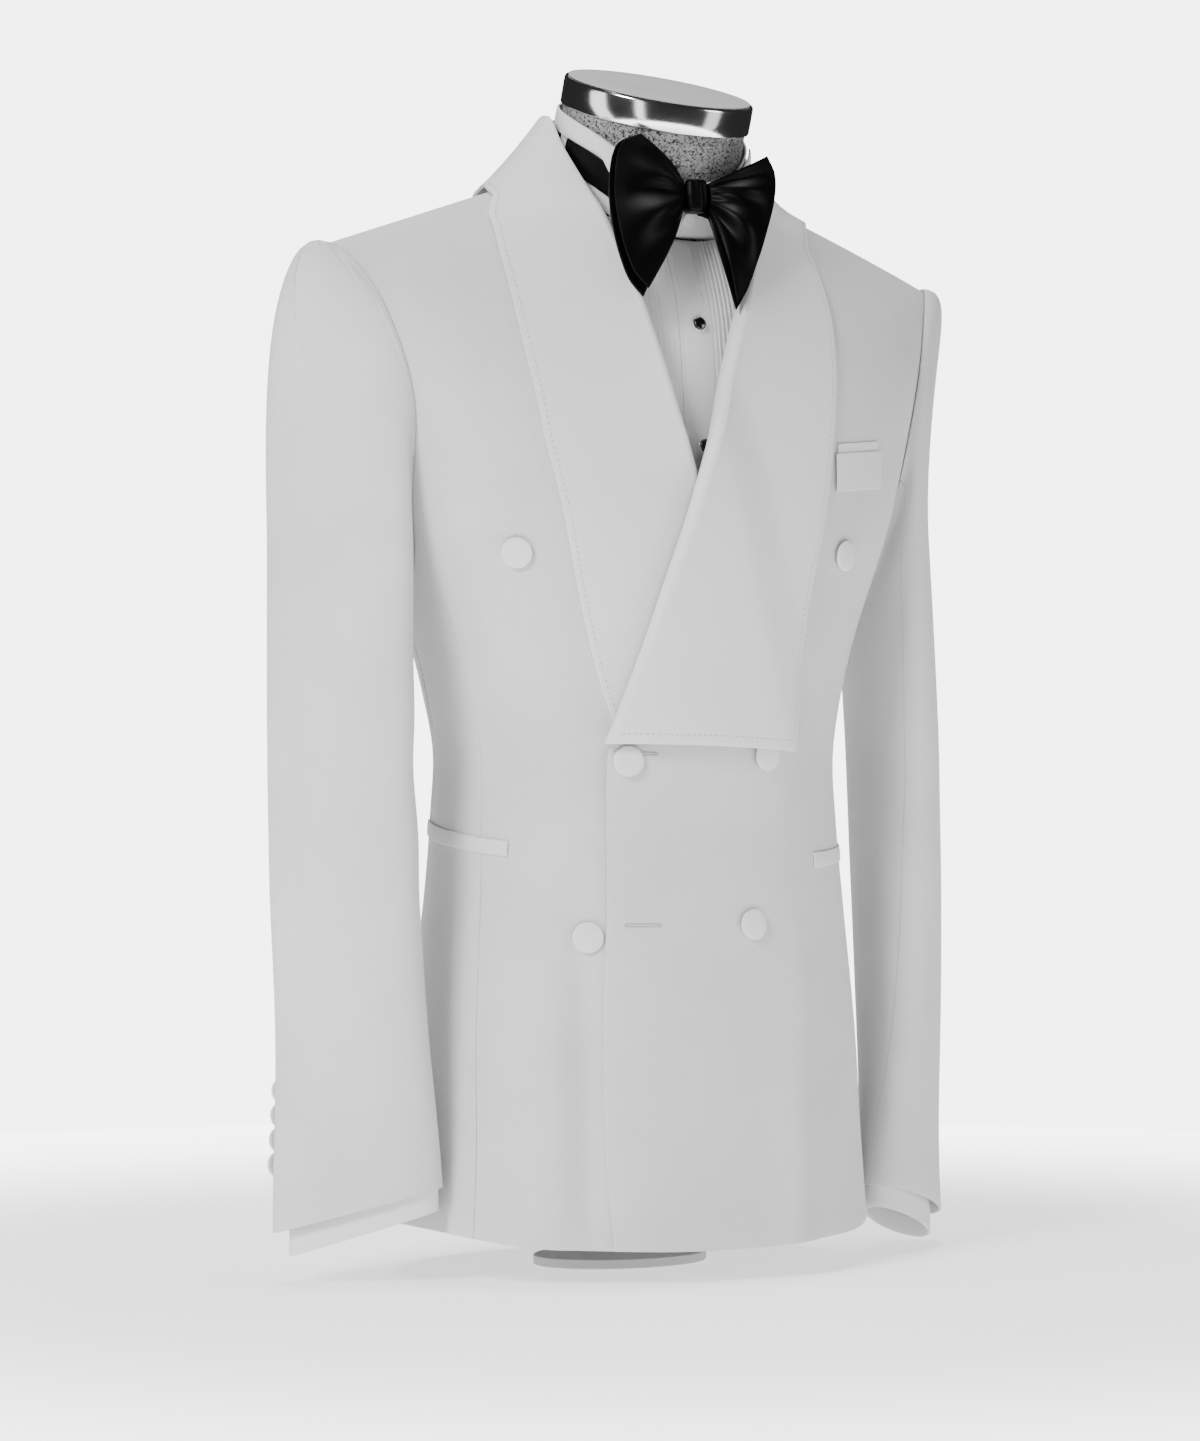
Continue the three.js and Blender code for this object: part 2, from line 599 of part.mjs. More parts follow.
function buildCollar(side) {
  const table = side === 'left' ? LEFT_LAPEL : RIGHT_LAPEL;
  const sign = side === 'left' ? 1 : -1;
  const heights = [table[0].z, ...range(8, table[0].z + 14, 588), ...range(5, 604, table.at(-1).z)];
  const rows = heights.map((z) => lapelRow(side, z));
  const first = collarRow(COLLAR[0], sign);
  for (const share of [1 / 3, 2 / 3]) {
    rows.push(rows[heights.length - 1].map((point, i) => {
      const between = point.clone().lerp(first[i], share);
      return i < ROLL.length ? between : clearOfShoulder(between);
    }));
  }
  for (const station of COLLAR) rows.push(collarRow(station, sign));
  const grid = sign > 0 ? rows : rows.map((row) => row.reverse());
  add(`collar_${side}`, wall(grid, CLOTH.collar), 'satin');
}

// The sleeves

function armholePoint(turn, out) {
  const folded = turn > 180 ? 360 - turn : turn;
  const z = armholeZ(folded);
  const away = read(ARMHOLE_OPENING, 'turn', 'away', folded);
  const back = turn > 180;
  const phi = back ? 90 + away : 90 - away;
  return { point: onBody(phi, z, out), normal: bodyNormal(phi, z) };
}

function sleeveRing(along, turn, side, grow = 0) {
  const column = (name) => read(SLEEVE, 'along', name, along);
  const twist = column('twist') * DEGREE;
  const front = new THREE.Vector3(-Math.sin(twist), -Math.cos(twist), 0);
  const out = new THREE.Vector3(Math.cos(twist), -Math.sin(twist), 0);
  const angle = turn * DEGREE;
  const point = new THREE.Vector3(column('x'), column('y'), column('z') + column('tilt') * Math.cos(angle));
  point.addScaledVector(front, (column('long') + grow) * Math.sin(angle));
  point.addScaledVector(out, (column('short') + grow) * Math.cos(angle));
  point.z += SLEEVE_HEM.slope * Math.sin(angle) * smooth(0.55, 1, along) - SLEEVE_HEM.drop[side] * along;
  return point;
}

// along runs from -1 at the armhole by 0 at the first section to 1 at the hem
function sleevePoint(along, turn, side) {
  const round = ((turn % 360) + 360) % 360;
  if (along >= 0) return sleeveRing(along, round, side);
  const start = armholePoint(round, CLOTH.jacket / 2 + SEAM + 0.4);
  const end = sleeveRing(0, round, side);
  const next = sleeveRing(0.02, round, side);
  const under = (1 - Math.cos(round * DEGREE)) / 2;
  const away = start.normal.clone().lerp(new THREE.Vector3(1, 0, SLEEVE_HEAD.lift), 0.55 * (1 - under) + 0.2).normalize();
  const backward = 1 - SLEEVE_HEAD.fuller * Math.sin(round * DEGREE);
  const leave = away.multiplyScalar(lerp(SLEEVE_HEAD.out * backward, SLEEVE_HEAD.underOut, under));
  const arrive = next.sub(end).normalize().multiplyScalar(lerp(SLEEVE_HEAD.down, SLEEVE_HEAD.underDown, under));
  const t = 1 + along;
  const h = 2 * t ** 3 - 3 * t ** 2 + 1;
  return start.point.multiplyScalar(h).addScaledVector(end, 1 - h)
    .addScaledVector(leave, t ** 3 - 2 * t ** 2 + t).addScaledVector(arrive, t ** 3 - t ** 2);
}

const SLEEVE_ROWS = [1, 0.87, 0.73, 0.58, 0.43, 0.28, 0.12, -0.06, -0.24, -0.42, -0.58, -0.73, -0.88, -1];

function sleeveNormal(along, turn, side) {
  const across = sleevePoint(along, turn - 1.5, side).sub(sleevePoint(along, turn + 1.5, side));
  const low = Math.min(1, along + 0.02);
  const high = Math.max(-1, along - 0.02);
  return across.cross(sleevePoint(high, turn, side).sub(sleevePoint(low, turn, side))).normalize();
}

function sleeveWall(from, to, columns, side) {
  const gap = 0.3;
  const turns = range(columns, from + gap, to - gap).reverse();
  const grid = SLEEVE_ROWS.map((along) => turns.map((turn) => sleevePoint(along, turn, side)));
  const normals = SLEEVE_ROWS.map((along) => turns.map((turn) => sleeveNormal(along, turn, side)));
  if (side === 'left') return wall(grid, CLOTH.jacket, { normals });
  return wall(mirrored(grid), CLOTH.jacket, { normals: mirrored(normals) });
}

function buildSleeve(side) {
  const { upperFrom, upperTo } = SLEEVE_HEM;
  add(`sleeve_upper_${side}`, sleeveWall(upperFrom, upperTo, 15, side), 'weave');
  add(`sleeve_under_${side}`, sleeveWall(upperTo, 360 + upperFrom, 9, side), 'weave');

  // The shirt cuff follows the sleeve inside it, pushed against its front edge
  const cuff = [1, 1, 1 - CUFF.above].map((along, i) => range(25, 360, 0).slice(1).map((turn) => {
    const twist = read(SLEEVE, 'along', 'twist', along) * DEGREE;
    const point = sleeveRing(along, turn, side, -CUFF.inset);
    point.x -= Math.sin(twist) * CUFF.forward;
    point.y -= Math.cos(twist) * CUFF.forward;
    if (i === 0) point.z -= CUFF.below;
    return point;
  }));
  const fit = side === 'left' ? cuff : mirrored(cuff);
  add(`shirt_cuff_${side}`, wall(fit, CLOTH.cuff, { wraps: true }), 'shirting');
}

// Buttons

function domedButton(radius, height) {
  const profile = [[0, 0], [radius * 0.8, 0], [radius, height * 0.38], [radius * 0.86, height * 0.8], [0, height]];
  return new THREE.LatheGeometry(profile.map(([x, y]) => new THREE.Vector2(x, y)), 12).rotateX(Math.PI / 2);
}

function place(mesh, point, normal) {
  mesh.position.copy(point);
  mesh.quaternion.setFromUnitVectors(UP, normal);
}

function buildButtons() {
  for (const { name, x, z } of FRONT_BUTTONS) {
    const out = (x > FRONT_EDGE[0].left ? leftOut(x, z) : 0) + CLOTH.jacket / 2 + BUTTON.lift;
    place(add(name, domedButton(BUTTON.radius, BUTTON.height), 'satin'), onFront(x, z, out), frontNormal(x, z));
  }
  for (const side of ['left', 'right']) {
    const sign = side === 'left' ? 1 : -1;
    const hem = sleevePoint(1, CUFF_BUTTON.turn, side).z;
    for (let i = 0; i < 4; i += 1) {
      const height = hem + CUFF_BUTTON.lowest + i * CUFF_BUTTON.pitch;
      let along = 0.9;
      for (let k = 0; k < 20; k += 1) along += (sleevePoint(along, CUFF_BUTTON.turn, side).z - height) / 420;
      const point = sleevePoint(along, CUFF_BUTTON.turn, side);
      const across = sleevePoint(along, CUFF_BUTTON.turn - 2, side).sub(sleevePoint(along, CUFF_BUTTON.turn + 2, side));
      const up = sleevePoint(along - 0.01, CUFF_BUTTON.turn, side).sub(sleevePoint(along + 0.01, CUFF_BUTTON.turn, side));
      const normal = across.cross(up).normalize();
      point.addScaledVector(normal, CLOTH.jacket / 2 + CUFF_BUTTON.lift);
      point.x *= sign;
      normal.x *= sign;
      place(add(`cuff_button_${side}_${i + 1}`, domedButton(CUFF_BUTTON.radius, CUFF_BUTTON.height), 'satin'), point, normal);
    }
  }
}

// Pockets

function stripGrid({ x0, x1, z0, z1, rise }, side, out, columns) {
  const sign = side === 'left' ? 1 : -1;
  const rows = range(3, 0, 1).map((v) => range(columns, 0, 1).map((u) => {
    const x = lerp(x0, x1, u);
    const z = lerp(z0, z1, v) + rise * u;
    return onFront(x, z, out + (side === 'left' ? leftOut(x, z) : 0));
  }));
  return sign > 0 ? rows : mirrored(rows);
}

// A hip welt runs from the front panel over the side seam, rising towards the back
function hipGrid({ from, to, z, tall, rise }, side, out) {
  const rows = range(2, -tall / 2, tall / 2).map((off) => range(13, 0, 1).map((u) => (
    onBody(lerp(from, to, u), z + off + rise * u ** 1.2, out)
  )));
  return side === 'left' ? rows : mirrored(rows);
}

function buildPockets() {
  const lies = CLOTH.jacket / 2 + SEAM + CLOTH.welt / 2;
  add('welt_breast', wall(stripGrid(BREAST_WELT, 'left', lies + CLOTH.square + 1, 6), CLOTH.welt), 'satin');
  add('welt_hip_left', wall(hipGrid(HIP_WELTS.left, 'left', lies + 0.5), CLOTH.welt), 'satin');
  add('welt_hip_right', wall(hipGrid(HIP_WELTS.right, 'right', lies + 0.5), CLOTH.welt), 'satin');
  const square = {
    x0: SQUARE.x0, x1: SQUARE.x1, rise: BREAST_WELT.rise,
    z0: BREAST_WELT.z1 - SQUARE.tuck, z1: BREAST_WELT.z1 + SQUARE.showing,
  };
  const backs = CLOTH.jacket / 2 + SEAM + 0.2 + CLOTH.square / 2;
  add('pocket_square', wall(stripGrid(square, 'left', backs, 6), CLOTH.square), 'shirting');
}

// The neck and what is round it

function onNeck(along, turn, radius) {
  const lean = NECK.lean * DEGREE;
  const middle = new THREE.Vector3(0, NECK.capY - along * Math.sin(lean), NECK.capZ + along * Math.cos(lean));
  const front = new THREE.Vector3(0, -Math.cos(lean), -Math.sin(lean));
  return middle.addScaledVector(front, radius * Math.cos(turn * DEGREE)).addScaledVector(new THREE.Vector3(1, 0, 0), radius * Math.sin(turn * DEGREE));
}

const collarTable = (name, turn) => read(SHIRT_COLLAR, 'turn', name, Math.abs(turn));

// Radius of the shirt collar, which is a little wider at its foot
function collarRadius(turn, along) {
  const top = collarTable('top', turn);
  const share = (top - along) / (top - collarTable('bottom', turn));
  return collarTable('radius', turn) + COLLAR_FLARE * share;
}

function buildShirtCollar() {
  const band = range(3, 0, 1).map((v) => range(33, -180, 180).slice(1).map((turn) => {
    const along = lerp(collarTable('bottom', turn), collarTable('top', turn), v);
    return onNeck(along, turn, collarRadius(turn, along));
  }));
  add('shirt_collar', wall(band, CLOTH.shirt, { wraps: true }), 'shirting');

  for (const side of ['left', 'right']) {
    const wing = range(5, 1, 0).map((v) => range(7, 0, 1).map((u) => {
      const turn = lerp(lerp(WING.topFrom, WING.topTo, u), lerp(WING.tipFrom, WING.tipTo, u), v);
      const along = collarTable('top', turn) - 0.5 - WING.drop * v;
      return onNeck(along, turn, collarRadius(turn, along) + WING.out);
    }));
    add(`shirt_wing_${side}`, wall(side === 'left' ? wing : mirrored(wing), CLOTH.shirt), 'shirting');

    const bow = range(2, 1, 0).map((v) => range(18, BOW_BAND.from, 179.6).map((turn) => {
      const below = lerp(BOW_BAND.belowFront, BOW_BAND.below, smooth(0, BOW_BAND.risesBy, turn));
      const along = collarTable('top', turn) - below - BOW_BAND.height * v;
      return onNeck(along, turn, collarRadius(turn, along) + BOW_BAND.out);
    }));
    add(`bow_band_${side}`, wall(side === 'left' ? bow : mirrored(bow), CLOTH.silk), 'silk');
  }
}

// Middle line of the shirt, and the outer limit of its fronts, at each height
const shirtMiddle = (z) => SHIRT_FRONT.middle + (z - STUDS[0].z) * SHIRT_FRONT.lean;
const shirtOuter = (z) => lerp(SHIRT_FRONT.outer, SHIRT_FRONT.outerTop, smooth(570, 655, z));

function onShirt(x, v, out) {
  const z = lerp(SHIRT_FRONT.bottom, SHIRT_FRONT.top + SHIRT_FRONT.rise * x * x, v);
  return onFront(x, z, out + lerp(SHIRT_FRONT.inset, SHIRT_FRONT.insetTop, smooth(560, 652, z)));
}

function buildShirtFront() {
  const sections = PLEATS.count * 2 + 1;
  for (const [name, sign] of [['left', 1], ['right', -1]]) {
    const grid = range(7, 0, 1).map((v) => {
      const z = lerp(SHIRT_FRONT.bottom, SHIRT_FRONT.top, v);
      const start = shirtMiddle(z) + sign * (SHIRT_FRONT.placket + SEAM);
      const row = [];
      for (let i = 0; i < sections; i += 1) row.push(start + (sign * i * PLEATS.pitch) / 2);
      row.push(sign * Math.max(shirtOuter(z), Math.abs(row.at(-1)) + 2));
      const under = SHIRT_FRONT.outerLift * (1 - smooth(560, 600, z));
      return row.map((x, i) => onShirt(x, v, i === row.length - 1 ? under : 0));
    });
    const relief = (r, c) => {
      const at = sign > 0 ? c : sections - c;
      return at < sections && at % 2 === 1 ? PLEATS.rise : 0;
    };
    const fit = sign > 0 ? grid : grid.map((row) => row.reverse());
    add(`shirt_front_${name}`, wall(fit, CLOTH.shirt, { relief }), 'shirting');
  }
  const placket = range(7, 0, 1).map((v) => {
    const middle = shirtMiddle(lerp(SHIRT_FRONT.bottom, SHIRT_FRONT.top, v));
    return range(5, -SHIRT_FRONT.placket, SHIRT_FRONT.placket).map((x) => onShirt(middle + x, v, 0.5));
  });
  add('shirt_placket', wall(placket, CLOTH.shirt + 0.4), 'shirting');
  const plane = SHIRT_FRONT.inset + 0.5 + CLOTH.shirt / 2 + 0.2;
  for (const { name, z } of STUDS) {
    const x = shirtMiddle(z);
    const eased = lerp(0, SHIRT_FRONT.insetTop - SHIRT_FRONT.inset, smooth(560, 652, z));
    place(add(name, domedButton(5, 3.6), 'stud'), onFront(x, z, plane + eased + 0.15), frontNormal(x, z));
  }
  const spot = onNeck(-74, 0, 66.2);
  place(add('collar_button', domedButton(5.2, 2.6), 'pearl'), spot, onNeck(-74, 0, 67.2).sub(spot).normalize());
}

// The bow

function lobeGrid(table, sign, behind) {
  const rows = 9;
  const columns = 6;
  return range(rows, 1, 0).map((v) => range(columns, 0, 1).map((u) => {
    const edge = new THREE.Vector3(read(table, 'v', 'x', v), read(table, 'v', 'y', v), read(table, 'v', 'z', v));
    const start = new THREE.Vector3(
      KNOT.x + sign * (KNOT.wide / 2 + SEAM + 0.6),
      KNOT.y,
      KNOT.z + KNOT.tall * 0.42 * (1 - 2 * v),
    );
    const point = start.lerp(edge, u);
    const swell = LOBE.swell * Math.sin(Math.PI * u ** 0.8) * Math.sin(Math.PI * lerp(0.12, 0.88, v));
    const fold = LOBE.foldDepth * Math.cos(2 * Math.PI * LOBE.folds * v) * Math.sin(Math.PI * u);
    point.y -= behind ? 0.35 * swell - LOBE.layerGap * Math.min(1, 0.6 + u) : swell + fold;
    if (behind) point.add(new THREE.Vector3(sign * LOBE.slip * 0.3 * u, 0, -LOBE.slip * u * v));
    return point;
  }));
}

function buildBow() {
  const turns = range(13, 0, 360).slice(1);
  const ring = (share, grow) => turns.map((turn) => {
    const cosine = Math.cos(turn * DEGREE);
    const deep = cosine > 0 ? KNOT.front : KNOT.back - KNOT.lean * share;
    return new THREE.Vector3(
      KNOT.x + (KNOT.wide / 2) * grow * Math.sin(turn * DEGREE),
      KNOT.y - deep * grow * cosine,
      KNOT.z + (KNOT.tall / 2) * share,
    );
  });
  add('bow_knot', solid([ring(-1, 0.72), ring(-0.8, 0.92), ring(0, 1), ring(0.8, 0.92), ring(1, 0.72)]), 'silk');
  for (const [side, sign] of [['left', 1], ['right', -1]]) {
    for (const [layer, behind] of [['front', false], ['rear', true]]) {
      const grid = lobeGrid(LOBES[side], sign, behind);
      const fit = sign > 0 ? grid : grid.map((row) => row.reverse());
      add(`bow_${layer}_${side}`, wall(fit, CLOTH.silk), 'silk');
    }
  }
}

// The form

const ringTurns = range(31, 0, 360).slice(1);

function formRing(z, tilt = 0) {
  const ridge = SHOULDER.tipX - (z + FORM.under - SHOULDER.tipZ) / SHOULDER.slope;
  const half = Math.min(read(TORSO, 'z', 'half', z) - FORM.inset, FORM.sideLimit, ridge);
  return ringTurns.map((turn) => {
    const sine = Math.sin(turn * DEGREE);
    const cosine = Math.cos(turn * DEGREE);
    const x = half * Math.sign(sine) * Math.abs(sine) ** (2 / TORSO_SHAPE);
    const height = Math.min(z - tilt * cosine, shoulderZ(x) - FORM.under - 0.4);
    const inset = lerp(FORM.inset, cosine > 0 ? FORM.frontInset : FORM.backInset, smooth(560, 660, z));
    const depth = read(TORSO, 'z', cosine > 0 ? 'front' : 'back', height) - inset;
    const cap = capShare(Math.max(0.02, shoulderZ(x) - FORM.under - height));
    return new THREE.Vector3(x, -depth * cap * Math.sign(cosine) * Math.abs(cosine) ** (2 / TORSO_SHAPE), height);
  });
}

function ovalRing(halfX, halfY, middleY, z) {
  return ringTurns.map((turn) => (
    new THREE.Vector3(halfX * Math.sin(turn * DEGREE), middleY - halfY * Math.cos(turn * DEGREE), z)
  ));
}

function buildForm() {
  const neckRing = (along, radius) => ringTurns.map((turn) => onNeck(along, turn, radius));
  const rings = [ovalRing(92, 66, 2, FORM.bottom), ovalRing(122, 84, 2, FORM.bottom + 14)];
  for (const z of [140, 210, 270, 315, 365, 410, 460, 515, 570, 612]) rings.push(formRing(z));
  rings.push(formRing(636, 4), formRing(650, 10), formRing(663, 17));
  rings.push(neckRing(-88, 63), neckRing(-68, 62.6), neckRing(-45, 62.4), neckRing(-NECK.ringHeight - SEAM, NECK.radius));
  add('form_body', solid(rings), 'knit');

  const top = NECK.radius - 2;
  add('form_neck_ring', solid([
    neckRing(-NECK.ringHeight, NECK.ringRadius - 0.8), neckRing(-NECK.ringHeight + 0.8, NECK.ringRadius),
    neckRing(-2.2, NECK.ringRadius), neckRing(-1.4, NECK.ringRadius - 0.8),
  ]), 'chrome');
  add('form_cap', solid([neckRing(-1.1, top + 2), neckRing(-0.3, top + 2), neckRing(0, top + 1)]), 'cap');

  const floor = -HEM_HEIGHT;
  add('form_foot', solid([
    ovalRing(FOOT.plateX, FOOT.plateY, FOOT.y, floor),
    ovalRing(FOOT.plateX, FOOT.plateY, FOOT.y, floor + FOOT.plate),
    ovalRing(FOOT.postX, FOOT.postY, FOOT.y, floor + FOOT.plate + 3),
    ovalRing(FOOT.postX, FOOT.postY, FOOT.y, FORM.bottom - SEAM),
  ]), 'foot');
}

buildBody();
buildCollar('left');
buildCollar('right');
buildSleeve('left');
buildSleeve('right');
buildButtons();
buildPockets();
buildShirtCollar();
buildShirtFront();
buildBow();
buildForm();

garment.position.z = HEM_HEIGHT;
export default garment;
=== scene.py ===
"""A pale double-breasted dinner jacket with its pleated shirt, bow tie and pocket square, on a dress form.

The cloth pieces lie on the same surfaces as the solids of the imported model, from the same tables,
with more points, soft folds, stitches and rounded edges. Sizes in the tables are millimetres, and
heights are measured from the front hem of the jacket. The meshes are in metres.
"""
import logging
import math
from dataclasses import dataclass
from enum import Enum
from typing import Callable, Optional, Sequence

import bpy
import numpy as np
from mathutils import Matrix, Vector


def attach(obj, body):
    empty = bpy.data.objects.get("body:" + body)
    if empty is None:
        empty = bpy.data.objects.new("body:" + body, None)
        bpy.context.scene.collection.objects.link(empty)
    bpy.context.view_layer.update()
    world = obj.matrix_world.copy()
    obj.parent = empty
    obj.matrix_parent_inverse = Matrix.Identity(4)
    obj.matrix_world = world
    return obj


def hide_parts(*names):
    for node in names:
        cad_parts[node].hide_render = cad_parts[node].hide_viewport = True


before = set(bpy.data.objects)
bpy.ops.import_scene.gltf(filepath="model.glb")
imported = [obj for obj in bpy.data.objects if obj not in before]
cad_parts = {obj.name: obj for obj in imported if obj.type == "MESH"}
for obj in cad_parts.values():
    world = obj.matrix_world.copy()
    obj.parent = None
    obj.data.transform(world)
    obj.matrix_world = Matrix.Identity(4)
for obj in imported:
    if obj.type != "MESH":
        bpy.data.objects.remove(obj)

logging.basicConfig(level=logging.INFO, format="%(message)s")
LOG = logging.getLogger("dinner_jacket")
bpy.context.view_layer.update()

METRE = 0.001
HEM_HEIGHT = 24.0
CENTRE_GAP = 0.12
PANEL_SEAM = 0.12
RIDGE_GAP = 1.1
SMALL = 1e-9

# Each step of a covered button's profile, as a change of width and a rise, for a button of this height.
DOME_HEIGHT = 3.6
DOME = [(2.9, 0.05), (1.12, 0.25), (1.035, 0.5), (1.0, 0.35), (0.985, 0.3), (0.94, 0.3), (0.82, 0.28),
        (0.66, 0.2), (0.45, 0.1), (0.3, 0.03)]


class Side(Enum):
    """The wearer's left or right."""

    LEFT = 1
    RIGHT = -1

    @property
    def word(self) -> str:
        """The side's name as the nodes have it."""
        return self.name.lower()


class Hold(Enum):
    """How a sheet of cloth is held."""

    DRAPED = "draped"
    HUNG = "hung"
    GATHERED = "gathered"
    FOLDED = "folded"
    STRETCHED = "stretched"


class Table:
    """A short table with named columns, read along a smooth curve through its rows."""

    def __init__(self, columns: str, rows: Sequence[Sequence[float]]) -> None:
        """Keeps the rows.

        Args:
            columns: the names of the columns, in order.
            rows: the numbers of each row.
        """
        self.names = columns.split()
        self.rows = np.array(rows, float)

    def column(self, name: str) -> np.ndarray:
        """One column's numbers."""
        return self.rows[:, self.names.index(name)]

    def read(self, column: str, at: np.ndarray) -> np.ndarray:
        """Reads a column at values of the first one.

        Args:
            column: the column that is read.
            at: values of the first column.

        Returns:
            The column's values there, held at the ends of the table.
        """
        return through(self.rows[:, 0], self.column(column), np.asarray(at, float))


def lerp(a: np.ndarray, b: np.ndarray, t: np.ndarray) -> np.ndarray:
    """A value between two, by a share."""
    return a + (b - a) * t


def hermite(start: np.ndarray, end: np.ndarray, leave: np.ndarray, arrive: np.ndarray, t: np.ndarray) -> np.ndarray:
    """A smooth curve between two points, by how it leaves one and arrives at the other."""
    h = 2 * t**3 - 3 * t**2 + 1
    return h * start + (1 - h) * end + ((t**3 - 2 * t**2 + t) * leave + (t**3 - t**2) * arrive)


def through(keys: np.ndarray, values: np.ndarray, at: np.ndarray) -> np.ndarray:
    """Reads a smooth curve through rows of values.

    Args:
        keys: the place of each row, rising.
        values: the number or the points of each row.
        at: the places that are read, held within the rows.

    Returns:
        The values there.
    """
    last = len(keys) - 1
    order = np.arange(last + 1)
    before, after = np.maximum(order - 1, 0), np.minimum(order + 1, last)
    spread = lambda widths: np.reshape(widths, np.shape(widths) + (1,) * (values.ndim - 1))
    slope = (values[after] - values[before]) / spread(keys[after] - keys[before])
    i = np.clip(np.searchsorted(keys, at, side="right") - 1, 0, last - 1)
    span = keys[i + 1] - keys[i]
    t = spread(np.clip((at - keys[i]) / span, 0, 1))
    return hermite(values[i], values[i + 1], spread(span) * slope[i], spread(span) * slope[i + 1], t)


def smooth(low: float, high: float, at: np.ndarray) -> np.ndarray:
    """A soft step from 0 at low to 1 at high."""
    t = np.clip((np.asarray(at, float) - low) / (high - low), 0, 1)
    return t * t * (3 - 2 * t)


def bell(at: np.ndarray, middle: np.ndarray, width: float) -> np.ndarray:
    """A soft bump of height 1 round a middle."""
    return np.exp(-(((at - middle) / width) ** 2))


def unit(vectors: np.ndarray) -> np.ndarray:
    """Vectors made one long."""
    return vectors / np.maximum(np.linalg.norm(vectors, axis=-1, keepdims=True), SMALL)


def mirrored(grid: np.ndarray) -> np.ndarray:
    """A grid of points on the other side of the body, still facing out."""
    return (grid * np.array([-1.0, 1.0, 1.0]))[:, ::-1]


def on_side(side: Side, grid: np.ndarray) -> np.ndarray:
    """A grid of the left side, on the side that is asked for."""
    return grid if side is Side.LEFT else mirrored(grid)


def mirrored_cloth(points: np.ndarray, run: np.ndarray) -> tuple:
    """A grid and the run of its cloth, on the other side of the body."""
    return mirrored(points), run[:, ::-1] * np.array([-1, 1])


def lengths(line: np.ndarray) -> np.ndarray:
    """The length from a line's first point to each of its points."""
    return np.concatenate([[0.0], np.cumsum(np.linalg.norm(np.diff(line, axis=0), axis=1))])


def read_along(line: np.ndarray, values: np.ndarray, at: np.ndarray) -> np.ndarray:
    """Reads values that are given at a line's points at lengths along it."""
    run = lengths(line)
    return np.stack([np.interp(at, run, column) for column in values.T], axis=-1)


def arcs(points: np.ndarray, axis: int) -> np.ndarray:
    """Lengths along a grid's rows or columns, from its first point."""
    steps = np.linalg.norm(np.diff(points, axis=axis), axis=-1)
    total = np.cumsum(steps, axis=axis)
    pad = [(0, 0), (0, 0)]
    pad[axis] = (1, 0)
    return np.pad(total, pad)


def refine(points: np.ndarray, count: int) -> np.ndarray:
    """Sets more rows on smooth curves through the rows of a grid.

    Args:
        points: rows of points.
        count: how many rows there are after.

    Returns:
        The finer grid.
    """
    chord = np.linalg.norm(np.diff(points, axis=0), axis=-1).mean(axis=1)
    keys = np.concatenate([[0.0], np.cumsum(chord)])
    return through(keys, points, np.linspace(0, keys[-1], count))


def normals_of(grid: np.ndarray) -> np.ndarray:
    """The outward normal at each point of a grid."""
    across = np.gradient(grid, axis=1)
    up = np.gradient(grid, axis=0)
    return unit(np.cross(across, up))


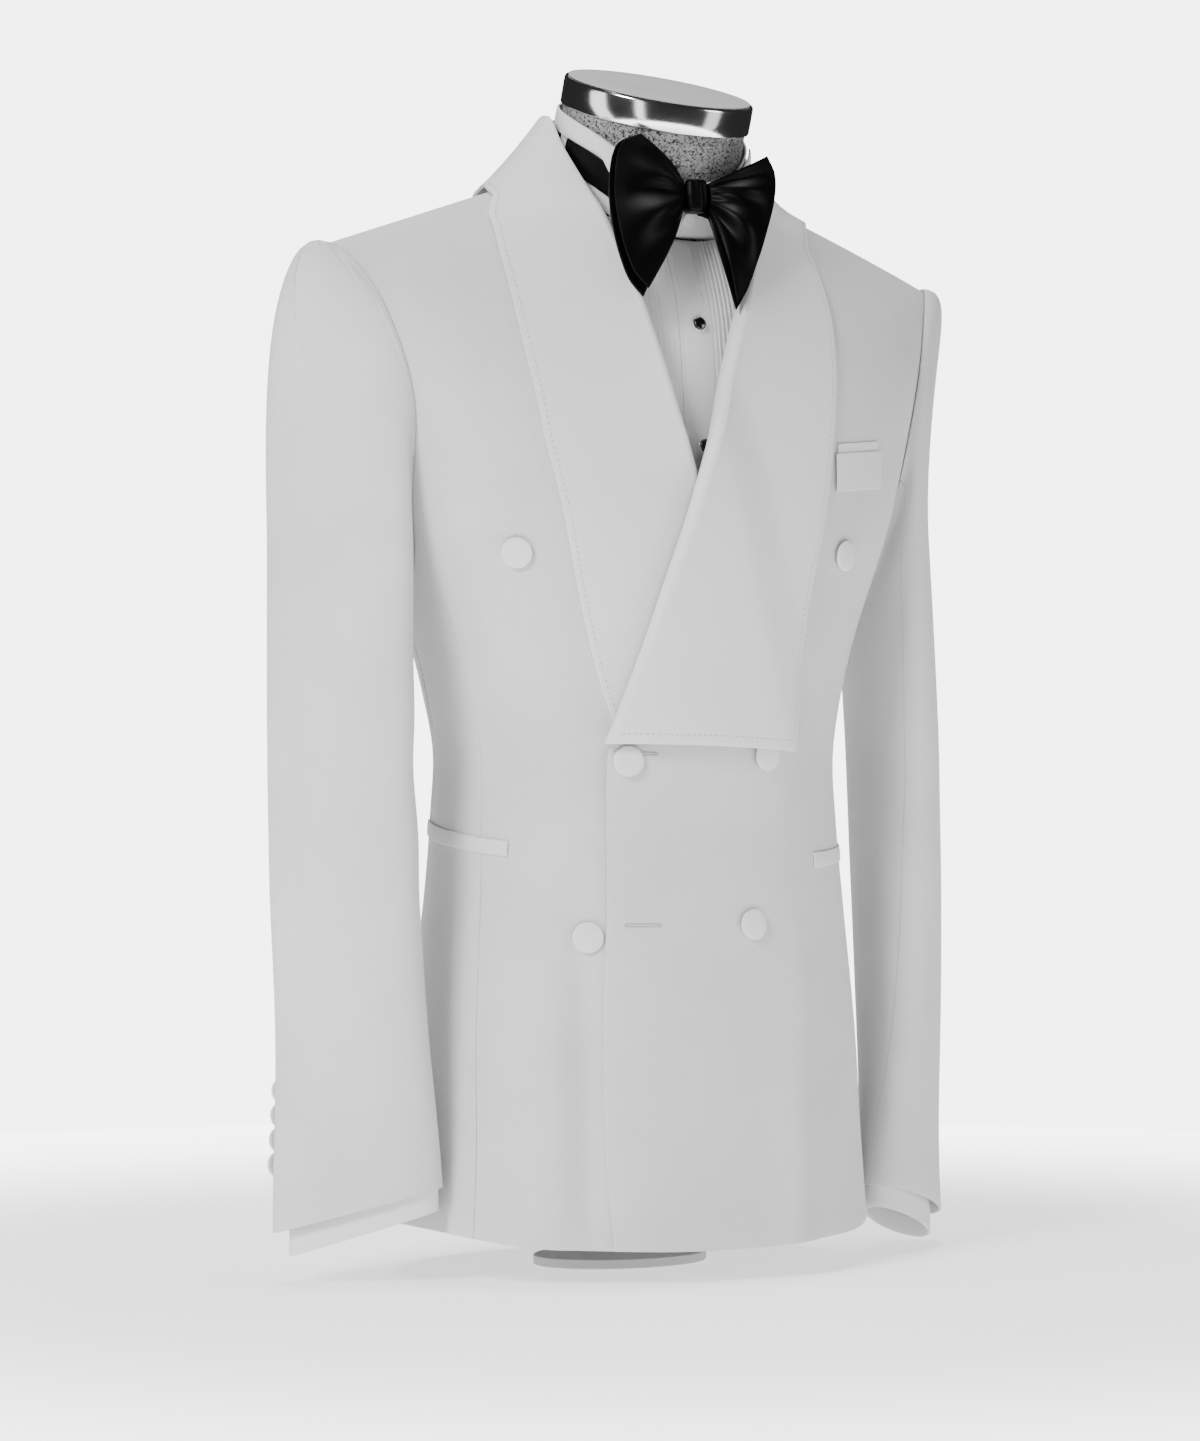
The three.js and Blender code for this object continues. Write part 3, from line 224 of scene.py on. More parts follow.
@dataclass
class Body:
    """The surface of the closed jacket, which every piece on the trunk follows."""

    shape: float = 2.2
    tip_x: float = 230.0
    tip_z: float = 639.0
    slope: float = 0.36
    reach: float = 250.0
    round: float = 140.0
    round_shape: float = 2.2
    run_top: float = 560.0

    def __post_init__(self) -> None:
        """Sets the table of half width and depths."""
        self.torso = Table("z half front back", [
            (-40, 163, 117, 125), (0, 162, 116, 124), (60, 158, 114, 122), (132, 154, 111, 119),
            (218, 144, 107, 113), (270, 139, 103, 110), (315, 137, 101.5, 108.5), (361, 145, 104, 113),
            (401, 157, 108, 121), (471, 184, 112, 132), (540, 205, 107, 135), (600, 227, 96, 130),
            (640, 243, 84, 120), (720, 262, 60, 95),
        ])

    def shoulder_z(self, x: np.ndarray) -> np.ndarray:
        """Height of the shoulder line over a distance from the middle."""
        return self.tip_z + (self.tip_x - np.minimum(np.abs(x), self.reach)) * self.slope

    def cap_share(self, drop: np.ndarray) -> np.ndarray:
        """How much of its depth the body has at a drop below the shoulder line."""
        share = np.clip(drop / self.round, 0, 1)
        return (1 - (1 - share) ** self.round_shape) ** (1 / self.round_shape)

    def at(self, phi: np.ndarray, z: np.ndarray) -> np.ndarray:
        """A point by the angle from the centre front and the height."""
        angle = np.radians(phi)
        sine = np.maximum(np.sin(angle), 0.0)
        x = self.torso.read("half", z) * sine ** (2 / self.shape)
        across = np.abs(np.cos(angle)) ** (2 / self.shape) * self.cap_share(self.shoulder_z(x) - z)
        depth = np.where(phi <= 90, -self.torso.read("front", z), self.torso.read("back", z))
        return np.stack(np.broadcast_arrays(x, depth * across, z), axis=-1).astype(float)

    def phi_of(self, x: np.ndarray, z: np.ndarray) -> np.ndarray:
        """The angle of a point of the front by its distance from the middle."""
        share = np.clip(x / self.torso.read("half", z), 0, 1)
        return np.degrees(np.arcsin(share ** (self.shape / 2)))

    def normal(self, phi: np.ndarray, z: np.ndarray) -> np.ndarray:
        """The outward normal."""
        step = 0.4
        low = np.clip(phi, 0.01, 179.2)
        here = self.at(low, z)
        across = self.at(low + step, z) - here
        up = here - self.at(low, np.asarray(z, float) - 1)
        return unit(np.cross(across, up))

    def on(self, phi: np.ndarray, z: np.ndarray, out: np.ndarray) -> np.ndarray:
        """A point that lies out of the surface."""
        return self.at(phi, z) + self.normal(phi, z) * np.asarray(out, float)[..., None]

    def on_front(self, x: np.ndarray, z: np.ndarray, out: np.ndarray) -> np.ndarray:
        """A point of the front by its own x, on either side of the middle."""
        x, z, out = np.broadcast_arrays(np.asarray(x, float), np.asarray(z, float), np.asarray(out, float))
        point = self.on(self.phi_of(np.abs(x), z), z, out)
        point[..., 0] *= np.where(x < 0, -1.0, 1.0)
        return point

    def front_normal(self, x: np.ndarray, z: np.ndarray) -> np.ndarray:
        """The outward normal of the front."""
        x, z = np.broadcast_arrays(np.asarray(x, float), np.asarray(z, float))
        normal = self.normal(self.phi_of(np.abs(x), z), z)
        normal[..., 0] *= np.where(x < 0, -1.0, 1.0)
        return normal

    def shoulder_top(self, x: np.ndarray, y: np.ndarray) -> np.ndarray:
        """Height of the shoulder's surface over a point."""
        z = self.shoulder_z(x)
        for _ in range(8):
            depth = np.where(y < 0, self.torso.read("front", z), self.torso.read("back", z))
            share = np.clip(np.abs(x) / self.torso.read("half", z), 0, 1)
            across = depth * (1 - share**self.shape) ** (1 / self.shape)
            cap = np.clip(np.abs(y) / np.maximum(across, SMALL), 0, 0.98)
            fall = 1 - (1 - cap**self.round_shape) ** (1 / self.round_shape)
            z = lerp(z, self.shoulder_z(x) - self.round * fall, 0.7)
        return z

    def arc(self, phi: np.ndarray, z: np.ndarray) -> np.ndarray:
        """Length round the body from the centre front, for the run of the weave."""
        row = np.asarray(z, float).mean(axis=1)
        stops = np.linspace(0, 180, 91)
        length = np.empty_like(phi, dtype=float)
        for i, height in enumerate(row):
            line = self.at(stops, np.full_like(stops, min(height, self.run_top)))
            length[i] = np.sign(phi[i]) * np.interp(np.abs(phi[i]), stops, lengths(line))
        return length


class Workshop:
    """Makes meshes from primitives, with the operators that a modeller uses."""

    @staticmethod
    def clear() -> None:
        """Leaves nothing selected."""
        if bpy.context.object and bpy.context.object.mode != "OBJECT":
            bpy.ops.object.mode_set(mode="OBJECT")
        bpy.ops.object.select_all(action="DESELECT")

    @staticmethod
    def pick(piece: bpy.types.Object) -> None:
        """Makes a piece the only one selected."""
        Workshop.clear()
        piece.select_set(True)
        bpy.context.view_layer.objects.active = piece

    @staticmethod
    def apply(piece: bpy.types.Object, kind: str, **settings: object) -> None:
        """Adds a modifier with its settings and applies it."""
        Workshop.pick(piece)
        modifier = piece.modifiers.new(kind.lower(), kind)
        for key, value in settings.items():
            setattr(modifier, key, value)
        bpy.ops.object.modifier_apply(modifier=modifier.name)

    @staticmethod
    def lay(name: str, points: np.ndarray, run: Optional[np.ndarray] = None, wraps: bool = False) -> bpy.types.Object:
        """Lays a grid over points on the garment.

        Args:
            name: the piece's name.
            points: rows of points, in millimetres above the hem.
            run: the run of the cloth at each point, across and along, in millimetres.
            wraps: whether the last column meets the first.

        Returns:
            The open surface.
        """
        if wraps:
            points = np.concatenate([points, points[:, :1]], axis=1)
        if run is None:
            run = np.stack([arcs(points, 1), arcs(points, 0)], axis=-1)
        rows, columns = points.shape[:2]
        Workshop.clear()
        bpy.ops.mesh.primitive_grid_add(x_subdivisions=columns - 1, y_subdivisions=rows - 1, size=1)
        piece = bpy.context.object
        piece.name = name
        mesh = piece.data
        mesh.name = name
        if len(mesh.vertices) != rows * columns:
            raise ValueError(f"{name}: {len(mesh.vertices)} points in the grid, not {rows * columns}")
        place = (points + np.array([0, 0, HEM_HEIGHT])) * METRE
        mesh.vertices.foreach_set("co", place.reshape(-1).astype(np.float32))
        corner = np.empty(len(mesh.loops), np.int32)
        mesh.loops.foreach_get("vertex_index", corner)
        layer = mesh.uv_layers.active or mesh.uv_layers.new(name="UVMap")
        layer.data.foreach_set("uv", (run.reshape(-1, 2)[corner] * METRE).reshape(-1).astype(np.float32))
        mesh.update()
        if wraps:
            Workshop.join_doubles(piece)
        return piece

    @staticmethod
    def join_doubles(piece: bpy.types.Object, outward: bool = False) -> None:
        """Merges points that coincide, and turns the faces outwards if asked."""
        Workshop.pick(piece)
        bpy.ops.object.mode_set(mode="EDIT")
        bpy.ops.mesh.select_all(action="SELECT")
        bpy.ops.mesh.remove_doubles(threshold=2e-6)
        if outward:
            bpy.ops.mesh.normals_make_consistent(inside=False)
        bpy.ops.object.mode_set(mode="OBJECT")

    @staticmethod
    def shade(piece: bpy.types.Object, degrees: float = 42.0) -> None:
        """Shades a piece smooth up to an angle."""
        Workshop.pick(piece)
        bpy.ops.object.shade_smooth_by_angle(angle=math.radians(degrees))

    @staticmethod
    def cloth(name: str, points: np.ndarray, thick: float, run: Optional[np.ndarray] = None,
              wraps: bool = False, edge: float = 0.4) -> bpy.types.Object:
        """A closed wall of cloth with rounded edges.

        Args:
            name: the piece's name.
            points: rows of points along its middle.
            thick: its thickness in millimetres.
            run: the run of the cloth, or None for its own lengths.
            wraps: whether it closes on itself.
            edge: the rounding of its edges in millimetres.

        Returns:
            The piece.
        """
        piece = Workshop.lay(name, points, run, wraps)
        Workshop.apply(piece, "SOLIDIFY", thickness=thick * METRE, offset=0.0, use_rim=True, use_quality_normals=True)
        Workshop.apply(piece, "BEVEL", width=edge * METRE, segments=2, limit_method="ANGLE",
                       angle_limit=math.radians(55))
        Workshop.shade(piece)
        return piece

    @staticmethod
    def turned(name: str, rings: np.ndarray) -> bpy.types.Object:
        """A closed solid through rings, with a middle point at each end.

        Args:
            name: the piece's name.
            rings: rings of points, each turning the same way round.

        Returns:
            The piece.
        """
        low = np.repeat(rings[:1].mean(axis=1, keepdims=True), rings.shape[1], axis=1)
        high = np.repeat(rings[-1:].mean(axis=1, keepdims=True), rings.shape[1], axis=1)
        piece = Workshop.lay(name, np.concatenate([low, rings, high]), wraps=True)
        Workshop.join_doubles(piece, outward=True)
        Workshop.shade(piece, 35)
        return piece

    @staticmethod
    def covered_button(name: str, radius: float, height: float) -> bpy.types.Object:
        """A cloth-covered button with a domed face and a shank, at the origin, in millimetres.

        Args:
            name: the piece's name.
            radius: its radius.
            height: its height without the shank.

        Returns:
            The button, standing on its shank.
        """
        Workshop.clear()
        bpy.ops.mesh.primitive_cylinder_add(vertices=40, radius=radius * 0.3, depth=1.2, location=(0, 0, 0.6))
        piece = bpy.context.object
        piece.name = name
        bpy.ops.object.transform_apply(location=True, rotation=True, scale=True)
        bpy.ops.object.mode_set(mode="EDIT")
        bpy.ops.mesh.select_all(action="DESELECT")
        bpy.ops.object.mode_set(mode="OBJECT")
        for face in piece.data.polygons:
            face.select = face.normal.z > 0.9
        bpy.ops.object.mode_set(mode="EDIT")
        for scale, rise in DOME:
            bpy.ops.mesh.extrude_region_move(TRANSFORM_OT_translate={"value": (0, 0, rise * height / DOME_HEIGHT)})
            bpy.ops.transform.resize(value=(scale, scale, 1), center_override=(0, 0, 0))
        bpy.ops.object.mode_set(mode="OBJECT")
        Workshop.apply(piece, "SUBSURF", levels=1, render_levels=1)
        Workshop.shade(piece, 50)
        return piece

    @staticmethod
    def set_on(model: bpy.types.Object, name: str, point: np.ndarray, normal: np.ndarray) -> bpy.types.Object:
        """Copies a model that stands at the origin to a place on the garment.

        Args:
            model: the model, in millimetres.
            name: the copy's name.
            point: its place, in millimetres above the hem.
            normal: the direction that it faces.

        Returns:
            The copy, with its own mesh.
        """
        copy = bpy.data.objects.new(name, model.data.copy())
        bpy.context.collection.objects.link(copy)
        copy.data.name = name
        turn = Vector((0, 0, 1)).rotation_difference(Vector(normal.tolist())).to_matrix()
        place = np.empty(len(copy.data.vertices) * 3, np.float32)
        copy.data.vertices.foreach_get("co", place)
        turned = place.reshape(-1, 3) @ np.array(turn).T
        moved = (turned + point + np.array([0, 0, HEM_HEIGHT])) * METRE
        copy.data.vertices.foreach_set("co", moved.reshape(-1).astype(np.float32))
        copy.data.update()
        return copy

    @staticmethod
    def loop(name: str, path: np.ndarray, normal: np.ndarray, radius: float) -> bpy.types.Object:
        """A thin cord round a closed path that lies on the cloth.

        Args:
            name: the piece's name.
            path: the points of its middle.
            normal: the cloth's normal at each of them.
            radius: its radius.

        Returns:
            The cord.
        """
        along = unit(np.roll(path, -1, axis=0) - np.roll(path, 1, axis=0))
        side = unit(np.cross(along, normal))
        turns = np.linspace(0, 2 * math.pi, 9)[:-1]
        ring = path[:, None] + radius * (np.cos(turns)[None, :, None] * side[:, None]
                                         + np.sin(turns)[None, :, None] * normal[:, None])
        piece = Workshop.lay(name, np.concatenate([ring, ring[:1]]), wraps=True)
        Workshop.join_doubles(piece, outward=True)
        Workshop.shade(piece, 60)
        return piece


class Nodes:
    """Adds and joins the nodes of one tree."""

    def __init__(self, tree: bpy.types.NodeTree) -> None:
        """Keeps the tree."""
        self.tree = tree

    def add(self, kind: str, **inputs: object) -> bpy.types.Node:
        """Adds a node, and sets or links its inputs by their names.

        Args:
            kind: the node's type.
            inputs: a value or an output for each input, with _ for a space.

        Returns:
            The node.
        """
        node = self.tree.nodes.new(kind)
        for key, value in inputs.items():
            self.feed(node.inputs[key.replace("_", " ")], value)
        return node

    def feed(self, socket: bpy.types.NodeSocket, value: object) -> None:
        """Links an output to a socket, or sets its value."""
        if isinstance(value, bpy.types.NodeSocket):
            self.tree.links.new(value, socket)
        else:
            socket.default_value = value

    def math(self, operation: str, *values: object) -> bpy.types.NodeSocket:
        """A Math node's output."""
        node = self.tree.nodes.new("ShaderNodeMath")
        node.operation = operation
        for socket, value in zip(node.inputs, values):
            self.feed(socket, value)
        return node.outputs[0]

    def group(self, group: bpy.types.NodeTree, **inputs: object) -> bpy.types.Node:
        """Places a node group and sets its inputs."""
        node = self.tree.nodes.new("ShaderNodeGroup")
        node.node_tree = group
        for key, value in inputs.items():
            self.feed(node.inputs[key.replace("_", " ")], value)
        return node

    def tones(self, mask: bpy.types.NodeSocket, low: Sequence[float], high: Sequence[float]) -> bpy.types.NodeSocket:
        """A colour between two tones by a mask."""
        node = self.tree.nodes.new("ShaderNodeMix")
        node.data_type = "RGBA"
        self.feed(node.inputs[0], mask)
        node.inputs[6].default_value = (*low, 1)
        node.inputs[7].default_value = (*high, 1)
        return node.outputs[2]

    def span(self, mask: bpy.types.NodeSocket, low: float, high: float) -> bpy.types.NodeSocket:
        """A number between two by a mask."""
        node = self.tree.nodes.new("ShaderNodeMapRange")
        self.feed(node.inputs["Value"], mask)
        node.inputs["To Min"].default_value = low
        node.inputs["To Max"].default_value = high
        return node.outputs[0]


class Grains:
    """The patterns that more than one finish uses, as node groups."""

    def __init__(self) -> None:
        """Builds each group once."""
        self.weave = self.build("cloth_weave", {"Vector": "VECTOR", "Pitch": 0.0018, "Slub": 0.3}, self.weave_nodes)
        self.mottle = self.build("soft_mottle", {"Vector": "VECTOR", "Scale": 12.0}, self.mottle_nodes)
        self.fibre = self.build("fine_fibre", {"Vector": "VECTOR", "Across": 900.0, "Along": 90.0}, self.fibre_nodes)

    @staticmethod
    def build(name: str, inputs: dict, fill: Callable[[Nodes, bpy.types.Node], dict]) -> bpy.types.NodeTree:
        """Builds a group with its sockets.

        Args:
            name: the group's name.
            inputs: VECTOR or a number for each input.
            fill: adds the nodes and returns the outputs by name.

        Returns:
            The group.
        """
        tree = bpy.data.node_groups.new(name, "ShaderNodeTree")
        for key, value in inputs.items():
            kind = "NodeSocketVector" if value == "VECTOR" else "NodeSocketFloat"
            socket = tree.interface.new_socket(key, in_out="INPUT", socket_type=kind)
            if value != "VECTOR":
                socket.default_value = value
        nodes = Nodes(tree)
        entry = tree.nodes.new("NodeGroupInput")
        outputs = fill(nodes, entry)
        for key in outputs:
            tree.interface.new_socket(key, in_out="OUTPUT", socket_type="NodeSocketFloat")
        leave = tree.nodes.new("NodeGroupOutput")
        for key, socket in outputs.items():
            tree.links.new(socket, leave.inputs[key])
        return tree

    @staticmethod
    def weave_nodes(nodes: Nodes, entry: bpy.types.Node) -> dict:
        """Raised lines on the diagonal, broken by fainter ones, with threads of uneven thickness."""
        split = nodes.add("ShaderNodeSeparateXYZ", Vector=entry.outputs["Vector"])
        turn = nodes.math("DIVIDE", math.tau, entry.outputs["Pitch"])
        across = nodes.math("MULTIPLY", nodes.math("ADD", split.outputs["X"], split.outputs["Y"]), turn)
        along = nodes.math("MULTIPLY", nodes.math("SUBTRACT", split.outputs["X"], split.outputs["Y"]), turn)
        cross = nodes.math("MULTIPLY", nodes.math("SINE", along), 0.16)
        height = nodes.math("ADD", nodes.math("MULTIPLY_ADD", nodes.math("SINE", across), 0.34, 0.5), cross)
        slub = nodes.add("ShaderNodeTexNoise", Vector=entry.outputs["Vector"], Scale=260.0, Detail=3.0)
        uneven = nodes.math("MULTIPLY", nodes.math("SUBTRACT", slub.outputs[0], 0.5), entry.outputs["Slub"])
        return {"Height": nodes.math("ADD", height, uneven), "Mask": height}

    @staticmethod
    def mottle_nodes(nodes: Nodes, entry: bpy.types.Node) -> dict:
        """Broad soft changes of tone."""
        vector, scale = entry.outputs["Vector"], entry.outputs["Scale"]
        noise = nodes.add("ShaderNodeTexNoise", Vector=vector, Scale=scale, Detail=4.0)
        return {"Mask": nodes.math("SMOOTH_MAX", noise.outputs[0], 0.25, 0.2)}

    @staticmethod
    def fibre_nodes(nodes: Nodes, entry: bpy.types.Node) -> dict:
        """Fine threads that run one way."""
        size = nodes.add("ShaderNodeCombineXYZ", X=entry.outputs["Across"], Y=entry.outputs["Along"], Z=1.0)
        spread = nodes.tree.nodes.new("ShaderNodeVectorMath")
        spread.operation = "MULTIPLY"
        nodes.feed(spread.inputs[0], entry.outputs["Vector"])
        nodes.feed(spread.inputs[1], size.outputs[0])
        noise = nodes.add("ShaderNodeTexNoise", Vector=spread.outputs[0], Scale=1.0, Detail=2.0)
        return {"Height": noise.outputs[0]}


@dataclass(frozen=True)
class Finish:
    """A finish: two tones and how the surface takes the light."""

    name: str
    low: tuple
    high: tuple
    rough: float = 0.8
    metallic: float = 0.0
    sheen: float = 0.0
    coat: float = 0.0
    depth: float = 0.0001
    shine: float = 0.5

    def start(self) -> tuple:
        """Starts the material.

        Returns:
            The material, its nodes, the shader node and the texture coordinates.
        """
        material = bpy.data.materials.new(self.name)
        material.use_nodes = True
        tree = material.node_tree
        shader = tree.nodes["Principled BSDF"]
        shader.inputs["Roughness"].default_value = self.rough
        shader.inputs["Metallic"].default_value = self.metallic
        shader.inputs["Sheen Weight"].default_value = self.sheen
        shader.inputs["Coat Weight"].default_value = self.coat
        shader.inputs["Coat Roughness"].default_value = 0.12
        shader.inputs["Specular IOR Level"].default_value = self.shine
        return material, Nodes(tree), shader, tree.nodes.new("ShaderNodeTexCoord")

    def bump(self, nodes: Nodes, shader: bpy.types.Node, height: bpy.types.NodeSocket, strength: float = 1.0) -> None:
        """Feeds a height to the shader's normal."""
        node = nodes.add("ShaderNodeBump", Strength=strength, Distance=self.depth, Height=height)
        nodes.feed(shader.inputs["Normal"], node.outputs[0])


@dataclass(frozen=True)
class WovenFinish(Finish):
    """A cloth whose weave shows."""

    pitch: float = 0.0026
    slub: float = 0.3

    def dress(self, grains: Grains) -> bpy.types.Material:
        """Makes the material."""
        material, nodes, shader, place = self.start()
        weave = nodes.group(grains.weave, Vector=place.outputs["UV"], Pitch=self.pitch, Slub=self.slub)
        mottle = nodes.group(grains.mottle, Vector=place.outputs["Object"], Scale=14.0)
        broad = nodes.math("MULTIPLY", mottle.outputs["Mask"], 0.45)
        mask = nodes.math("MULTIPLY_ADD", weave.outputs["Mask"], 0.55, broad)
        nodes.feed(shader.inputs["Base Color"], nodes.tones(mask, self.low, self.high))
        self.bump(nodes, shader, weave.outputs["Height"], 0.55)
        return material


@dataclass(frozen=True)
class SatinFinish(Finish):
    """A smooth cloth whose threads run one way."""

    across: float = 1500.0
    along: float = 120.0

    def dress(self, grains: Grains) -> bpy.types.Material:
        """Makes the material."""
        material, nodes, shader, place = self.start()
        fibre = nodes.group(grains.fibre, Vector=place.outputs["UV"], Across=self.across, Along=self.along)
        mottle = nodes.group(grains.mottle, Vector=place.outputs["Object"], Scale=9.0)
        broad = nodes.math("MULTIPLY", mottle.outputs["Mask"], 0.6)
        mask = nodes.math("MULTIPLY_ADD", fibre.outputs["Height"], 0.4, broad)
        rough = nodes.span(mottle.outputs["Mask"], self.rough - 0.05, self.rough + 0.07)
        nodes.feed(shader.inputs["Base Color"], nodes.tones(mask, self.low, self.high))
        nodes.feed(shader.inputs["Roughness"], rough)
        self.bump(nodes, shader, fibre.outputs["Height"], 0.4)
        return material


@dataclass(frozen=True)
class KnitFinish(Finish):
    """A heather knit of dark and light flecks."""

    fleck: float = 950.0

    def dress(self, grains: Grains) -> bpy.types.Material:
        """Makes the material."""
        material, nodes, shader, place = self.start()
        cells = nodes.add("ShaderNodeTexVoronoi", Vector=place.outputs["Object"], Scale=self.fleck)
        tone = nodes.add("ShaderNodeSeparateColor", Color=cells.outputs["Color"])
        noise = nodes.add("ShaderNodeTexNoise", Vector=place.outputs["Object"], Scale=900.0, Detail=3.0)
        fine = nodes.math("MULTIPLY", noise.outputs[0], 0.6)
        mix = nodes.math("ADD", nodes.math("MULTIPLY", tone.outputs[0], 0.7), fine)
        sharp = nodes.span(mix, -0.85, 1.65)
        nodes.feed(shader.inputs["Base Color"], nodes.tones(sharp, self.low, self.high))
        stitch = nodes.group(grains.weave, Vector=place.outputs["UV"], Pitch=0.0022, Slub=0.8)
        self.bump(nodes, shader, stitch.outputs["Height"], 0.9)
        return material


@dataclass(frozen=True)
class HardFinish(Finish):
    """A metal, shell or plastic surface with faint marks."""

    scale: float = 40.0
    spread: float = 0.06

    def dress(self, grains: Grains) -> bpy.types.Material:
        """Makes the material."""
        material, nodes, shader, place = self.start()
        mottle = nodes.group(grains.mottle, Vector=place.outputs["Object"], Scale=self.scale)
        mask = mottle.outputs["Mask"]
        nodes.feed(shader.inputs["Base Color"], nodes.tones(mask, self.low, self.high))
        nodes.feed(shader.inputs["Roughness"], nodes.span(mask, self.rough, self.rough + self.spread))
        fibre = nodes.group(grains.fibre, Vector=place.outputs["Object"], Across=900.0, Along=900.0)
        self.bump(nodes, shader, fibre.outputs["Height"], 0.15)
        return material


def grey(value: float, warm: float = 0.0) -> tuple:
    """A grey tone, a little warm if asked."""
    return (value * (1 + warm), value, value * (1 - warm))


FINISHES = {
    "weave": WovenFinish("jacket_weave", grey(0.44), grey(0.74), rough=0.9, sheen=0.06, depth=0.00022),
    "satin": SatinFinish("lapel_satin", grey(0.66), grey(0.72), rough=0.56, sheen=0.1, depth=0.00004),
    "shirting": WovenFinish("shirt_cotton", grey(0.68), grey(0.74), rough=0.85, depth=0.00005,
                            pitch=0.0007, slub=0.2),
    "silk": SatinFinish("bow_silk", grey(0.0004), grey(0.0012), rough=0.42, shine=0.1, depth=0.00005,
                        across=1800.0, along=60.0),
    "thread": HardFinish("cotton_thread", grey(0.38), grey(0.48), rough=0.8),
    "stud": HardFinish("stud_face", grey(0.003), grey(0.006), rough=0.08, coat=0.6, depth=0.00001),
    "rim": HardFinish("stud_rim", grey(0.76), grey(0.84), rough=0.3, metallic=1.0, depth=0.00001),
    "pearl": HardFinish("button_pearl", grey(0.62, 0.01), grey(0.80), rough=0.22, coat=0.5, depth=0.00001,
                        scale=260.0),
    "chrome": HardFinish("ring_chrome", grey(0.66), grey(0.76), rough=0.13, metallic=1.0, depth=0.000004,
                         spread=0.03),
    "cap": HardFinish("cap_disc", grey(0.36), grey(0.43), rough=0.55, depth=0.00004),
    "knit": KnitFinish("neck_knit", grey(0.004), grey(0.30), rough=0.95, sheen=0.1, depth=0.0006),
    "foot": HardFinish("foot_coat", grey(0.50), grey(0.56), rough=0.45, depth=0.00003),
}


class Dresser:
    """Gives pieces their finish, body and node."""

    def __init__(self) -> None:
        """Makes every finish."""
        grains = Grains()
        self.materials = {key: finish.dress(grains) for key, finish in FINISHES.items()}

    def wear(self, piece: bpy.types.Object, finish: str, slot: str, *nodes: str) -> bpy.types.Object:
        """Dresses a piece and ties it to the model.

        Args:
            piece: the piece.
            finish: the finish's name.
            slot: the record's material slot; not used.
            nodes: the nodes that it stands for.

        Returns:
            The piece.
        """
        piece.data.materials.clear()
        piece.data.materials.append(self.materials[finish])
        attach(piece, "root")
        if nodes:
            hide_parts(*nodes)
        LOG.info("%s: %d faces", piece.name, len(piece.data.polygons))
        return piece


BODY = Body()
ARMHOLE = Table("turn away", [(0, 18.2), (30, 24.3), (60, 25.6), (90, 23), (120, 14.5), (150, 6), (180, 0)])
ARMHOLE_MIDDLE, ARMHOLE_REACH, SEAM_TURN = 535.5, 103.5, 128.0
HEM_FRONT, HEM_BACK = 66.0, 116.0
LEFT_LAPEL = Table("z fold outer roll lies", [
    (320.5, -74.5, 53.5, 1.5, 7.6), (334, -70, 56.5, 2.5, 7.4), (378, -57, 63.5, 5, 4.6), (425, -43.5, 71.5, 7, 3.2),
    (462, -31.5, 79.5, 8, 2.9), (489, -22.5, 84.5, 8.5, 2.9), (520, -12, 89.5, 9, 2.9), (553, 0, 94, 9, 2.9),
    (587, 13, 98, 9, 2.9), (620, 29, 100.5, 9, 2.9), (650, 45, 101, 10, 2.9),
])
RIGHT_LAPEL = Table("z fold outer roll lies", [
    (322, 30, -66, 0.6, 2.9), (363, 19, -81, 0.6, 2.9), (413, 3, -95.5, 0.6, 2.9), (452, -9, -105, 0.4, 2.9),
    (489, -21, -114, 0.5, 2.9), (512, -29, -120, 4.5, 2.9), (533, -36, -124, 6.5, 2.9), (580, -49, -132, 8.5, 2.9),
    (629, -58.5, -134, 9.5, 2.9), (660, -62.5, -130, 10.5, 2.9),
])
FRONT_EDGE = Table("z left right", [
    (-10, -77, 38), (50, -81, 38), (93, -82, 38), (164, -80, 37), (221, -76.5, 36), (289, -74.5, 33),
    (322, -73.5, 30),
])
RIGHT_DART = Table("z x", [(262.7, -124.3), (285.7, -121.3), (321.4, -116.8), (348.7, -119.7), (431, -128.9)])
LEFT_DART = Table("z x", [(256, 81.8), (311, 87.3), (370, 91.5), (429, 95.4)])
LAPEL_TOP = 322.0
NECK_X = 80.0


def armhole_phi(z: np.ndarray, back: bool) -> np.ndarray:
    """The armhole's edge, as an angle round the body."""
    turn = np.degrees(np.arccos(np.clip((z - ARMHOLE_MIDDLE) / ARMHOLE_REACH, -1, 1)))
    away = ARMHOLE.read("away", turn)
    return 90 + away if back else 90 - away


def armhole_z(turn: np.ndarray) -> np.ndarray:
    """Height of a point of the armhole by the angle round it."""
    return ARMHOLE_MIDDLE + ARMHOLE_REACH * np.cos(np.radians(turn))


def armhole_edge(turn: np.ndarray) -> tuple:
    """The body angle and the height of a point of the armhole, by the whole turn round it."""
    folded = np.where(turn > 180, 360 - turn, turn)
    away = ARMHOLE.read("away", folded)
    return np.where(turn > 180, 90 + away, 90 - away), armhole_z(folded)


SEAM_TOP = float(armhole_z(SEAM_TURN))


def outer_phi(z: np.ndarray, back: bool) -> np.ndarray:
    """The edge of a front or back on the arm's side."""
    top = armhole_phi(np.array(SEAM_TOP), back)
    below = lerp(HEM_BACK if back else HEM_FRONT, top, smooth(0, SEAM_TOP, z))
    return np.where(z >= SEAM_TOP, armhole_phi(np.maximum(z, SEAM_TOP), back), below)


def hem_rise(phi: np.ndarray) -> np.ndarray:
    """How far the hem lies above or below its mean height."""
    return -3.0 * (1 - smooth(0, 40, phi)) + 9.0 * smooth(35, 88, np.minimum(phi, 180 - phi))


def seam_shift(z: np.ndarray) -> np.ndarray:
    """Half a seam's width as an angle."""
    return np.degrees(PANEL_SEAM / BODY.torso.read("half", z))


